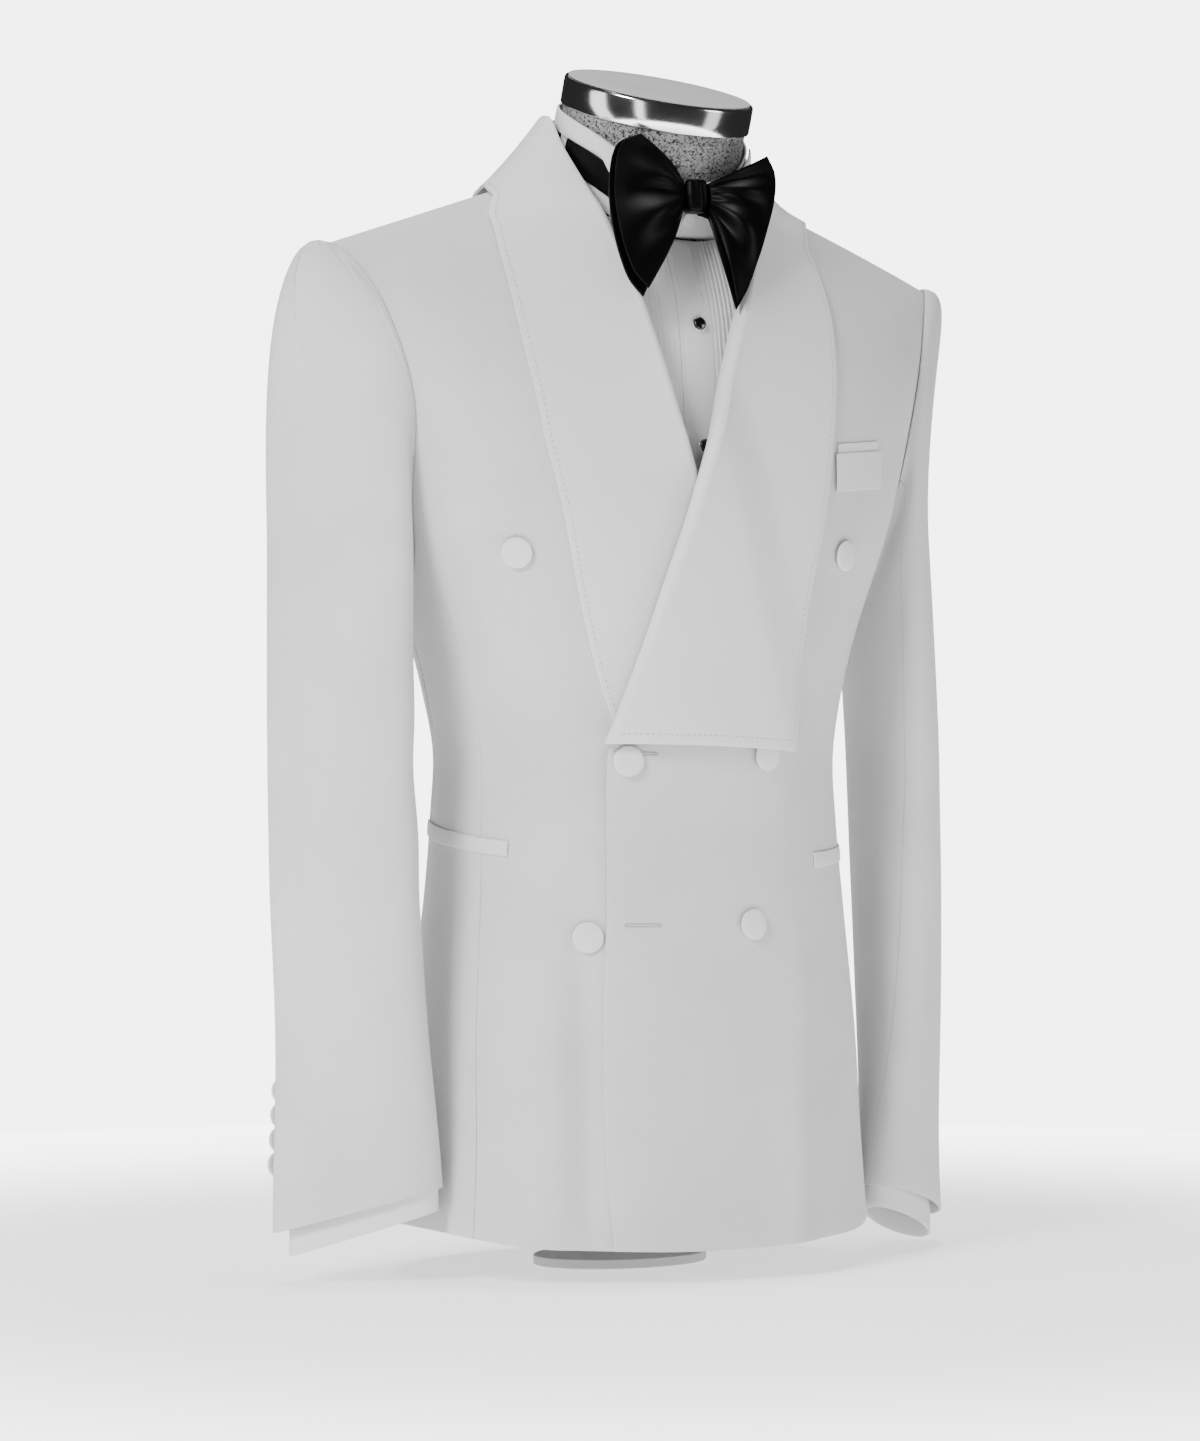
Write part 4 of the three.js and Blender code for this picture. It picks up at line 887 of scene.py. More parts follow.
def left_out(x: np.ndarray, z: np.ndarray) -> np.ndarray:
    """How far the left front rides over the right one."""
    amount = lerp(3.0, 6.6, smooth(262, 322, z))
    edge = np.where(z > LAPEL_TOP, RIGHT_LAPEL.read("fold", z), FRONT_EDGE.read("right", z))
    reach = 1 - smooth(0, 1, (x - edge - 12) / 46)
    return amount * reach * (1 - smooth(510, 580, z))


def drape(x: np.ndarray, z: np.ndarray) -> np.ndarray:
    """Soft folds of the fronts, as heights over the plain surface."""
    low = 1 - smooth(120, 262, z)
    fold = 4.2 * bell(x, -116 + 0.03 * z, 13) - 4.6 * bell(x, -93, 10)
    fold = fold * low * smooth(-10, 30, z)
    left = 3.4 * bell(x, 54 + 0.05 * z, 15) * (1 - smooth(120, 215, z))
    left = left - 0.8 * bell(x, 26, 18) * (1 - smooth(90, 190, z))
    drag = 0.45 * np.sin((z - 313) / 9 + (x + 22) / 40) * bell(z, 312, 26) * bell(x, -110, 26)
    breath = 0.35 * np.sin(x / 37 + 1.3) * np.sin(z / 71 + 0.4) + 0.2 * np.sin(x / 17 + z / 43)
    return fold + left + drag + breath * smooth(0, 80, z) * (1 - smooth(560, 640, z))


def darts(x: np.ndarray, z: np.ndarray) -> np.ndarray:
    """The shallow grooves of the front darts."""
    groove = np.zeros(np.broadcast(x, z).shape)
    for table in (RIGHT_DART, LEFT_DART):
        ends = table.column("z")
        inside = smooth(ends[0] - 6, ends[0] + 4, z) * (1 - smooth(ends[-1] - 8, ends[-1] + 2, z))
        groove -= 0.55 * bell(x, table.read("x", z), 1.7) * inside
    return groove


def panel_point(share: np.ndarray, start: np.ndarray, phi_at: Callable[[np.ndarray], np.ndarray]) -> tuple:
    """Finds the point of a panel's row that has a given angle.

    Args:
        share: the row's share of the shoulder's height.
        start: a first guess of the distance from the middle.
        phi_at: gives the angle at a height.

    Returns:
        The angle, the distance from the middle and the height.
    """
    z = share * BODY.shoulder_z(start)
    phi, x = phi_at(z), start
    for _ in range(12):
        phi = phi_at(z)
        x = BODY.at(phi, np.maximum(z, 0))[..., 0]
        z = share * BODY.shoulder_z(x) + hem_rise(phi) * (1 - share) ** 5
    return phi, x, z


@dataclass
class Jacket:
    """The panels of the trunk."""

    thick: float = 1.8
    rows: int = 116
    front_columns: int = 150
    back_columns: int = 60

    def shares(self) -> np.ndarray:
        """Heights of the rows, closer near the shoulder."""
        return 1 - (1 - np.linspace(0, 1, self.rows)) ** 1.6

    def front_inner(self, side: Side, z: np.ndarray, share: np.ndarray) -> np.ndarray:
        """The inner edge of a front: the free edge, the fold line, then the neckline."""
        table = LEFT_LAPEL if side is Side.LEFT else RIGHT_LAPEL
        heights = table.column("z")
        fold = table.read("fold", np.minimum(z, heights[-1])) * side.value + 2.6
        above = lerp(fold, NECK_X, smooth(0.86, 0.985, share))
        return np.where(z < heights[0], FRONT_EDGE.read(side.word, z) * side.value, above)

    def front(self, side: Side) -> tuple:
        """The points of a front and the run of its cloth."""
        share = self.shares()
        x0, z0 = np.zeros(self.rows), share * BODY.shoulder_z(np.zeros(self.rows))
        for _ in range(12):
            x0 = self.front_inner(side, z0, share)
            z0 = share * BODY.shoulder_z(x0)
        outer = panel_point(share, np.full(self.rows, 180.0), lambda z: outer_phi(z, False) - seam_shift(z))[0]
        inner = np.sign(x0) * BODY.phi_of(np.abs(x0), z0)
        across = np.linspace(0, 1, self.front_columns)[None, :] ** 1.05
        phi = lerp(inner[:, None], outer[:, None], across)
        start = np.full(phi.shape, 60.0)
        _, x, z = panel_point(np.broadcast_to(share[:, None], phi.shape), start, lambda _: np.abs(phi))
        x = np.sign(phi) * x
        true_x = x * side.value
        out = drape(true_x, z) + darts(true_x, z) + (left_out(x, z) if side is Side.LEFT else 0)
        if side is Side.RIGHT:
            out = np.minimum(out, lerp(out, 0.2, smooth(-74, -50, true_x)))
        points = BODY.on(np.abs(phi), z, out)
        points[..., 0] *= np.where(phi < 0, -1, 1)
        points[-1, :, 1] = np.minimum(points[-1, :, 1], -RIDGE_GAP)
        run = np.stack([BODY.arc(phi, z), arcs(points, 0)], axis=-1)
        return (points, run) if side is Side.LEFT else mirrored_cloth(points, run)

    def back(self) -> tuple:
        """The points of the left back and the run of its cloth."""
        share = self.shares()
        top = (share - 0.96) / 0.04
        neck = np.where(share <= 0.96, CENTRE_GAP, NECK_X * np.sqrt(np.maximum(top, 0)))
        seam = np.maximum(neck, CENTRE_GAP)
        inner = panel_point(share, np.full(self.rows, 60.0), lambda z: 180 - BODY.phi_of(seam, z))[0]
        outer = panel_point(share, np.full(self.rows, 180.0), lambda z: outer_phi(z, True) + seam_shift(z))[0]
        phi = lerp(inner[:, None], outer[:, None], np.linspace(0, 1, self.back_columns)[None, :])
        _, x, z = panel_point(np.broadcast_to(share[:, None], phi.shape), np.full(phi.shape, 100.0), lambda _: phi)
        fade = smooth(30, 120, z) * (1 - smooth(560, 640, z))
        waist = 0.9 * np.sin(z / 15 + x / 60) * bell(z, 318, 46) * bell(x, 95, 40)
        blade = 0.8 * np.sin(x / 31 + 0.6) * np.sin(z / 83)
        points = BODY.on(phi, z, (waist + blade) * fade)
        points[-1, :, 1] = np.maximum(points[-1, :, 1], RIDGE_GAP)
        run = np.stack([BODY.arc(phi, z), arcs(points, 0)], axis=-1)
        return points[:, ::-1], run[:, ::-1]

    def side(self) -> tuple:
        """The points of the left side panel and the run of its cloth."""
        u, v = np.meshgrid(np.linspace(0, 1, 28), np.linspace(0, 1, 90))
        top = armhole_z(lerp(SEAM_TURN, 360 - SEAM_TURN, u)) - 0.2
        low = hem_rise(lerp(HEM_FRONT, HEM_BACK, u))
        z = lerp(low, top, v)
        bounded = np.minimum(z, SEAM_TOP)
        start = outer_phi(bounded, False) + seam_shift(z)
        end = outer_phi(bounded, True) - seam_shift(z)
        points = BODY.on(lerp(start, end, u), z, 0.3 * np.sin(z / 33) * np.sin(math.pi * u))
        return points, np.stack([arcs(points, 1) + 190, arcs(points, 0)], axis=-1)

    def make(self, dresser: Dresser) -> None:
        """Builds and dresses the panels."""
        back, side = self.back(), self.side()
        laid = {
            "front_left": self.front(Side.LEFT), "front_right": self.front(Side.RIGHT),
            "back_left": back, "back_right": mirrored_cloth(*back),
            "side_left": side, "side_right": mirrored_cloth(*side),
        }
        for name, (points, run) in laid.items():
            piece = Workshop.cloth(f"jacket_{name}", points, self.thick, run)
            dresser.wear(piece, "weave", "weave", name)


# The roll of a lapel round its fold line, as a distance outwards and a share of its height.
ROLL = [(0.6, 0.02), (-0.3, 0.12), (-0.9, 0.32), (-1.2, 0.5), (-1.1, 0.68), (-0.5, 0.85), (0.4, 0.95),
        (1.8, 1.02), (3.4, 1.03)]


@dataclass
class Collar:
    """The shawl collar and lapels."""

    thick: float = 2.0
    clear: float = 3.1
    sag: float = 4.5
    fall_steps: int = 46
    rows: int = 170
    stitch_inset: float = 4.2
    stitch_pitch: float = 4.0
    stitch_size: tuple = (1.15, 0.36, 0.42)

    def stations(self) -> list:
        """Points of the collar round the neck: seam, fold, fall and outer edge."""
        return [
            ([72, -33, 677], [66, -46, 687], [92, -36, 680], [120, -22, 672.5]),
            ([75, -15, 692], [70, -25, 713], [90, -19, 695], [116, -6, 683]),
            ([74, 6, 700], [70, -9, 733], [88, 2, 706], [109, 13, 688]),
            ([65, 32, 701], [61, 18, 736], [77, 36, 710], [94, 54, 686]),
            ([46, 51, 699], [45, 38, 735], [55, 60, 708], [68, 82, 679]),
            ([23, 63, 698], [24, 51, 732], [28, 71, 705], [34, 93.5, 674]),
            ([0.6, 67, 697], [0.6, 56, 731], [0.6, 75, 704], [0.6, 97, 672]),
        ]

    def lapel_row(self, side: Side, z: float) -> np.ndarray:
        """One row across a lapel: round the roll, then out to the edge."""
        table = LEFT_LAPEL if side is Side.LEFT else RIGHT_LAPEL
        sign = side.value
        fold, outer, roll, lies = (float(table.read(name, z)) for name in ("fold", "outer", "roll", "lies"))
        under = (lambda x, h: left_out(x, h)) if side is Side.LEFT else (lambda x, h: np.zeros_like(x))
        along = np.array([row[0] for row in ROLL])
        up = np.array([row[1] for row in ROLL])
        x = fold + sign * along
        level = np.full_like(x, z)
        start = BODY.on_front(x, level, under(np.full_like(x, fold), level) + (lies + roll) * up)
        share = (np.arange(1, self.fall_steps + 1) / self.fall_steps) ** 1.1
        first = ROLL[-1][0]
        x = fold + sign * (first + (abs(outer - fold) - first) * share)
        rise = roll * (1 - share) ** 2.4
        end = self.sag * share**2 * (1 - smooth(table.column("z")[0], table.column("z")[0] + 30, z))
        low = np.full_like(x, z) - (end if side is Side.LEFT else 0)
        soft = 0.5 * np.sin(z / 47 + share * 2.4) * np.sin(math.pi * share)
        if side is Side.LEFT:
            soft += 1.3 * bell(z, 352, 34) * bell(share, 0.22, 0.16) + 0.7 * bell(z, 470, 60) * bell(share, 0.35, 0.2)
        rest = BODY.on_front(x, low, under(x, np.full_like(x, z)) + lies + rise + soft)
        return np.concatenate([start, rest])

    def clear_of_shoulder(self, points: np.ndarray) -> np.ndarray:
        """Lifts points until they clear the shoulder beneath."""
        x, y = points[:, 0], points[:, 1]
        step = 1.5
        here = BODY.shoulder_top(x, y)
        across = (BODY.shoulder_top(x + step, y) - here) / step
        along = (BODY.shoulder_top(x, y + step) - here) / step
        lifted = points.copy()
        lifted[:, 2] = np.maximum(points[:, 2], here + self.clear * np.sqrt(1 + across**2 + along**2))
        return lifted

    def neck_row(self, station: tuple, sign: int) -> np.ndarray:
        """One row of the collar at the neck: up the stand, over the fold and down the fall."""
        seam, fold, fall, outer = (np.array(point, float) * np.array([sign, 1, 1]) for point in station)
        away = outer - fold
        away[2] = 0
        away = unit(away)
        turn = fold + away * 3.2 + np.array([0, 0, -0.6])
        stand = [lerp(seam, fold, share) for share in (0, 0.25, 0.5, 0.7, 0.86)]
        stand += [lerp(seam, fold, 0.95) + away * 0.1, fold + away * 0.6]
        stand += [fold + away * 1.8 + np.array([0, 0, 0.15]), turn]
        t = ((np.arange(1, self.fall_steps + 1) / self.fall_steps) ** 1.1)[:, None]
        curve = turn * (1 - t) ** 2 + fall * 2 * t * (1 - t) + outer * t**2
        return np.concatenate([np.array(stand), self.clear_of_shoulder(curve)])

    def grid(self, side: Side) -> np.ndarray:
        """The points of one half of the collar."""
        table = LEFT_LAPEL if side is Side.LEFT else RIGHT_LAPEL
        heights = table.column("z")
        levels = np.concatenate([[heights[0]], np.linspace(heights[0] + 6, heights[-1], 34)])
        rows = [self.lapel_row(side, float(z)) for z in levels]
        first = self.neck_row(self.stations()[0], side.value)
        for share in (1 / 3, 2 / 3):
            between = lerp(rows[len(levels) - 1], first, share)
            between[len(ROLL):] = self.clear_of_shoulder(between[len(ROLL):])
            rows.append(between)
        rows += [self.neck_row(station, side.value) for station in self.stations()]
        fine = refine(np.array(rows), self.rows)
        return fine if side is Side.LEFT else fine[:, ::-1]

    def stitch_path(self, grid: np.ndarray, side: Side, inset: float) -> tuple:
        """The line of pick stitches inside the outer edge, and along a square end."""
        points = grid if side is Side.LEFT else grid[:, ::-1]
        normals = normals_of(grid)
        normals = normals if side is Side.LEFT else normals[:, ::-1]
        path, facing = [], []

        def on_row(r: int, distance: float) -> None:
            """Adds the point of a row at a distance from the outer edge."""
            line, normal = points[r][::-1], normals[r][::-1]
            path.append(read_along(line, line, distance))
            facing.append(read_along(line, normal, distance))

        along = np.linalg.norm(np.diff(points[:, -1], axis=0), axis=1).cumsum()
        first = int(np.searchsorted(along, inset)) + 1
        if side is Side.LEFT:
            width = np.linalg.norm(np.diff(points[first], axis=0), axis=1).sum()
            for distance in np.linspace(width - 14, inset + 1, 60):
                on_row(first, distance)
        for r in range(first, len(points)):
            on_row(r, inset)
        return np.array(path), unit(np.array(facing))

    def stitches(self, side: Side, grid: np.ndarray) -> bpy.types.Object:
        """The pick stitches of one half, as one piece."""
        path, facing = self.stitch_path(grid, side, self.stitch_inset)
        stops = np.arange(2.0, lengths(path)[-1] - 2.0, self.stitch_pitch)
        spots = read_along(path, path, stops)
        normal = unit(read_along(path, facing, stops))
        tangent = unit(read_along(path, path, stops + 0.5) - spots)
        across = np.cross(normal, tangent)
        Workshop.clear()
        bpy.ops.mesh.primitive_uv_sphere_add(segments=8, ring_count=5, radius=1.0)
        model = bpy.context.object
        shape = np.array([vertex.co[:] for vertex in model.data.vertices]) * np.array(self.stitch_size)
        faces = [tuple(face.vertices) for face in model.data.polygons]
        bpy.data.objects.remove(model)
        centre = spots + normal * (self.thick / 2 + 0.02)
        placed = (centre[:, None] + shape[None, :, :1] * tangent[:, None] + shape[None, :, 1:2] * across[:, None]
                  + shape[None, :, 2:] * normal[:, None])
        points = (placed.reshape(-1, 3) + np.array([0, 0, HEM_HEIGHT])) * METRE
        many = [tuple(i + k * len(shape) for i in face) for k in range(len(spots)) for face in faces]
        mesh = bpy.data.meshes.new(f"pick_stitches_{side.word}")
        mesh.from_pydata(points.tolist(), [], many)
        piece = bpy.data.objects.new(mesh.name, mesh)
        bpy.context.collection.objects.link(piece)
        Workshop.join_doubles(piece, outward=True)
        Workshop.shade(piece, 70)
        return piece

    def make(self, dresser: Dresser) -> None:
        """Builds and dresses both halves."""
        for side in Side:
            grid = self.grid(side)
            piece = Workshop.cloth(f"shawl_collar_{side.word}", grid, self.thick, edge=0.7)
            dresser.wear(piece, "satin", "satin", f"collar_{side.word}")
            stitches = dresser.wear(self.stitches(side, grid), "thread", "satin")


@dataclass
class Sleeves:
    """The sleeves, with the shirt cuffs inside them."""

    thick: float = 1.8
    slope: float = 15.0
    drop: float = 14.0
    upper_from: float = -112.0
    upper_to: float = 108.0
    head_out: float = 112.0
    fuller: float = 0.72
    head_down: float = 230.0
    head_lift: float = -0.1
    under_out: float = 26.0
    under_down: float = 30.0
    cuff_inset: float = 6.6
    cuff_above: float = 0.11
    cuff_below: float = 15.0
    cuff_forward: float = 4.0
    seam_turn: float = 0.12
    allowance_in: float = 1.5

    def __post_init__(self) -> None:
        """Sets the table of sections below the armhole."""
        self.sections = Table("along x y z long short twist tilt", [
            (0, 211, 18, 441, 66, 23, 16, 30), (0.22, 213.5, 12, 345, 63, 25, 18, 12),
            (0.48, 213.5, 6, 235, 58.5, 27, 22, 0), (0.74, 211, -1, 130, 54, 27, 31, 0),
            (1, 208.5, -5, 23, 54, 24, 52, 0),
        ])

    def ring(self, along: np.ndarray, turn: np.ndarray, side: Side, grow: float = 0.0) -> np.ndarray:
        """A point of the sleeve below the armhole."""
        read = lambda name: self.sections.read(name, along)
        twist, angle = np.radians(read("twist")), np.radians(turn)
        reach, wide = (read("long") + grow) * np.sin(angle), (read("short") + grow) * np.cos(angle)
        x = read("x") - np.sin(twist) * reach + np.cos(twist) * wide
        y = read("y") - np.cos(twist) * reach - np.sin(twist) * wide
        z = read("z") + read("tilt") * np.cos(angle) + self.slope * np.sin(angle) * smooth(0.55, 1, along)
        z = z - (self.drop if side is Side.LEFT else 0.0) * along
        return np.stack(np.broadcast_arrays(x, y, z), axis=-1)

    def head(self, along: np.ndarray, turn: np.ndarray, side: Side) -> np.ndarray:
        """A point between the armhole and the first section."""
        phi, z = armhole_edge(turn)
        normal = BODY.normal(phi, z)
        start = BODY.on(phi, z, self.thick / 2 + 0.8)
        zero = np.zeros_like(turn)
        end = self.ring(zero, turn, side)
        following = self.ring(zero + 0.02, turn, side)
        under = (1 - np.cos(np.radians(turn)))[..., None] / 2
        weight = 0.55 * (1 - under) + 0.2
        leave = unit(lerp(normal, np.array([1, 0, self.head_lift]), weight))
        backward = (1 - self.fuller * np.sin(np.radians(turn)))[..., None]
        leave = leave * lerp(self.head_out * backward, self.under_out, under)
        arrive = unit(following - end) * lerp(self.head_down, self.under_down, under)
        return hermite(start, end, leave, arrive, (1 + along)[..., None])

    def point(self, along: np.ndarray, turn: np.ndarray, side: Side) -> np.ndarray:
        """A point of the sleeve, from -1 at the armhole by 0 to 1 at the hem."""
        turn = np.mod(turn, 360)
        below = self.ring(np.maximum(along, 0), turn, side)
        above = self.head(np.minimum(along, 0), turn, side)
        return np.where((along >= 0)[..., None], below, above)

    def outward(self, along: np.ndarray, turn: np.ndarray, side: Side, step: float, turn_step: float) -> np.ndarray:
        """The outward normal of the sleeve, from points a step away."""
        ahead = self.point(along, turn + turn_step, side) - self.point(along, turn - turn_step, side)
        higher, lower = np.maximum(along - step, -1), np.minimum(along + step, 1)
        return unit(np.cross(-ahead, self.point(higher, turn, side) - self.point(lower, turn, side)))

    def ripple(self, along: np.ndarray, turn: np.ndarray, side: Side) -> np.ndarray:
        """Soft folds down the sleeve."""
        shift = 0.0 if side is Side.LEFT else 1.1
        tall = np.sin(np.radians(turn * 2.0) + 2.2 * along + shift) * bell(along, 0.3, 0.55) * 1.7
        elbow = 1.4 * np.sin(along * 26 + np.radians(turn) * 1.5) * bell(along, 0.34, 0.16)
        elbow = elbow * bell(np.mod(turn, 360), 95, 45)
        crown = 0.5 * np.sin(np.radians(turn * 5) + 0.4) * bell(along, -0.82, 0.14)
        return tall + elbow + crown

    def wall(self, start: float, end: float, columns: int, side: Side) -> np.ndarray:
        """The points of one piece of a sleeve, drawn on the left side."""
        turns = np.linspace(end - self.seam_turn, start + self.seam_turn, columns)
        rows = 1 - 2 * np.linspace(0, 1, 130) ** 0.96
        along, turn = np.meshgrid(rows, turns, indexing="ij")
        normal = self.outward(along, turn, side, 0.02, 1.5)
        return self.point(along, turn, side) + normal * self.ripple(along, turn, side)[..., None]

    def cuff(self, side: Side) -> np.ndarray:
        """The points of a shirt cuff."""
        turns = np.linspace(360, 0, 97)[1:]
        rows = []
        for share in np.linspace(0, 1, 14):
            along = np.full_like(turns, 1 - self.cuff_above * share)
            twist = np.radians(self.sections.read("twist", along))
            ring = self.ring(along, turns, side, -self.cuff_inset)
            ring[:, 0] -= np.sin(twist) * self.cuff_forward
            ring[:, 1] -= np.cos(twist) * self.cuff_forward
            rows.append(ring)
        rim = rows[0].copy()
        low = [rim + np.array([0, 0, -self.cuff_below * (1 - k / 5)]) for k in range(5)]
        return np.array(low + rows)

    def allowance(self, side: Side) -> np.ndarray:
        """The turned-in edge that closes the armhole seam from inside."""
        turns = np.linspace(360, 0, 121)[1:]
        edge = BODY.on(*armhole_edge(turns), -self.allowance_in)
        rows = []
        for along in (-0.95, -0.97, -0.99):
            level = np.full_like(turns, along)
            normal = self.outward(level, turns, side, 0.01, 1.5)
            rows.append(self.point(level, turns, side) - normal * self.allowance_in)
        rows.append(lerp(rows[-1], edge, 0.55))
        rows.append(edge)
        return np.array(rows)

    def make(self, dresser: Dresser) -> None:
        """Builds and dresses the sleeves and cuffs."""
        spans = {"upper": (self.upper_from, self.upper_to, 76), "under": (self.upper_to, 360 + self.upper_from, 48)}
        for side in Side:
            inside = Workshop.cloth(f"armhole_allowance_{side.word}", on_side(side, self.allowance(side)), 0.6,
                                    wraps=True, edge=0.2)
            dresser.wear(inside, "weave", "weave")
            for kind, (start, end, columns) in spans.items():
                grid = on_side(side, self.wall(start, end, columns, side))
                piece = Workshop.cloth(f"sleeve_{kind}_cloth_{side.word}", grid, self.thick)
                dresser.wear(piece, "weave", "weave", f"sleeve_{kind}_{side.word}")
            cuff = Workshop.cloth(f"cuff_cloth_{side.word}", on_side(side, self.cuff(side)), 1.6, wraps=True, edge=0.5)
            dresser.wear(cuff, "shirting", "shirting", f"shirt_cuff_{side.word}")


@dataclass
class Buttons:
    """The covered buttons, with the buttonholes of the left front."""

    radius: float = 10.0
    height: float = 4.6
    lift: float = 0.75
    edge_x: float = -77.0
    cuff_radius: float = 7.6
    cuff_height: float = 4.4
    cuff_lift: float = 1.15
    cuff_lowest: float = 42.0
    cuff_pitch: float = 15.6
    cuff_turn: float = -100.0
    hole_start: float = -66.5
    hole_end: float = -43.5
    hole_heights: tuple = (313.7, 204.2)
    cord: float = 0.55

    fronts = [
        ("button_top_right", -132, 441.5), ("button_top_left", 103.5, 446), ("button_middle_right", -62, 309),
        ("button_middle_left", 34.4, 313.5), ("button_bottom_right", -88, 197), ("button_bottom_left", 21.8, 204),
    ]

    def front_level(self, x: float, z: float) -> float:
        """Height of the front cloth that a button stands on."""
        over = float(left_out(np.array(x), np.array(z))) if x > self.edge_x else 0.0
        return over + float(drape(np.array(x), np.array(z)))

    def buttonhole(self, name: str, z: float) -> bpy.types.Object:
        """A corded slot with an eye at its end."""
        half, middle = (self.hole_end - self.hole_start) / 2, (self.hole_start + self.hole_end) / 2
        turn = np.linspace(0, 2 * math.pi, 61)[:-1]
        eye = 1 + 0.9 * bell(np.cos(turn), -1, 0.35)
        x = middle + half * np.sign(np.cos(turn)) * np.abs(np.cos(turn)) ** 0.35
        height = z + 0.95 * eye * np.sin(turn)
        out = left_out(x, height) + drape(x, height) + 0.95
        return Workshop.loop(name, BODY.on_front(x, height, out), BODY.front_normal(x, height), self.cord)

    def cuff_spot(self, sleeves: Sleeves, side: Side, i: int) -> tuple:
        """The place of a cuff button and the way it faces, drawn on the left side."""
        at = lambda along: sleeves.point(np.array([along]), np.array([self.cuff_turn]), side)[0]
        height = float(at(1.0)[2]) + self.cuff_lowest + i * self.cuff_pitch
        along = 0.9
        for _ in range(20):
            along += (float(at(along)[2]) - height) / 420
        normal = sleeves.outward(np.array([along]), np.array([self.cuff_turn]), side, 0.01, 2.0)[0]
        return at(along) + normal * self.cuff_lift, normal

    def make(self, dresser: Dresser, sleeves: Sleeves) -> None:
        """Builds and dresses the buttons and buttonholes."""
        model = Workshop.covered_button("button_model", self.radius, self.height)
        for name, x, z in self.fronts:
            place = BODY.on_front(x, z, self.front_level(x, z) + self.lift)
            piece = Workshop.set_on(model, f"covered_{name}", place, BODY.front_normal(x, z))
            dresser.wear(piece, "satin", "satin", name)
        bpy.data.objects.remove(model)
        model = Workshop.covered_button("cuff_model", self.cuff_radius, self.cuff_height)
        for side in Side:
            flip = np.array([side.value, 1, 1])
            for i in range(4):
                place, normal = self.cuff_spot(sleeves, side, i)
                name = f"cuff_button_{side.word}_{i + 1}"
                piece = Workshop.set_on(model, f"covered_{name}", place * flip, normal * flip)
                dresser.wear(piece, "satin", "satin", name)
        bpy.data.objects.remove(model)
        for i, z in enumerate(self.hole_heights):
            dresser.wear(self.buttonhole(f"buttonhole_{i + 1}", z), "thread", "weave")


@dataclass
class Pockets:
    """The breast welt with its square, and the hip welts."""

    inner_x: float = 93.0
    width: float = 46.0
    climb: float = 5.5

    def strip(self, x0: float, x1: float, z0: float, z1: float, out: float, crown: float = 0.0) -> np.ndarray:
        """A strip on the left front that rises towards the side."""
        u, v = np.meshgrid(np.linspace(0, 1, 44), np.linspace(0, 1, 26))
        x = lerp(x0, x1, u)
        z = lerp(z0, z1, v) + self.climb * (x - self.inner_x) / self.width
        lift = crown * np.sin(math.pi * np.clip(v, 0, 1)) ** 0.6
        return BODY.on_front(x, z, out + lift + left_out(x, z) + drape(x, z))

    def hip(self, start: float, end: float, middle: float, rise: float) -> np.ndarray:
        """A welt over the side seam, as points of the left side."""
        u, v = np.meshgrid(np.linspace(0, 1, 90), np.linspace(-0.5, 0.5, 14))
        return BODY.on(lerp(start, end, u), middle + 10 * v + rise * u**1.2, 1.75 + 0.25 * np.cos(math.pi * v))

    def make(self, dresser: Dresser) -> None:
        """Builds and dresses the welts and the square."""
        strip = self.strip(x0=self.inner_x, x1=self.inner_x + self.width, z0=487, z1=512, out=2.85, crown=0.15)
        welt = Workshop.cloth("breast_pocket_welt", strip, 1.1, edge=0.4)
        dresser.wear(welt, "satin", "satin", "welt_breast")
        square = Workshop.cloth("folded_square", self.strip(x0=95.5, x1=137, z0=504, z1=518.5, out=1.6), 0.8, edge=0.3)
        dresser.wear(square, "shirting", "shirting", "pocket_square")
        hips = {Side.LEFT: self.hip(start=33.5, end=84, middle=245, rise=9),
                Side.RIGHT: self.hip(start=61.6, end=112, middle=253, rise=14)}
        for side, grid in hips.items():
            piece = Workshop.cloth(f"hip_welt_cloth_{side.word}", on_side(side, grid), 1.0, edge=0.35)
            dresser.wear(piece, "satin", "satin", f"welt_hip_{side.word}")


@dataclass
class Neck:
    """The leaning axis of the form's neck."""

    cap_y: float = -32.0
    cap_z: float = 756.0
    lean: float = 20.0

    def on(self, along: np.ndarray, turn: np.ndarray, radius: np.ndarray) -> np.ndarray:
        """A point round the neck, by the length along its axis from the cap."""
        lean = math.radians(self.lean)
        angle = np.radians(turn)
        forward = radius * np.cos(angle)
        x = radius * np.sin(angle)
        y = self.cap_y - along * math.sin(lean) - forward * math.cos(lean)
        z = self.cap_z + along * math.cos(lean) - forward * math.sin(lean)
        return np.stack(np.broadcast_arrays(x, y, z), axis=-1)


NECK = Neck()


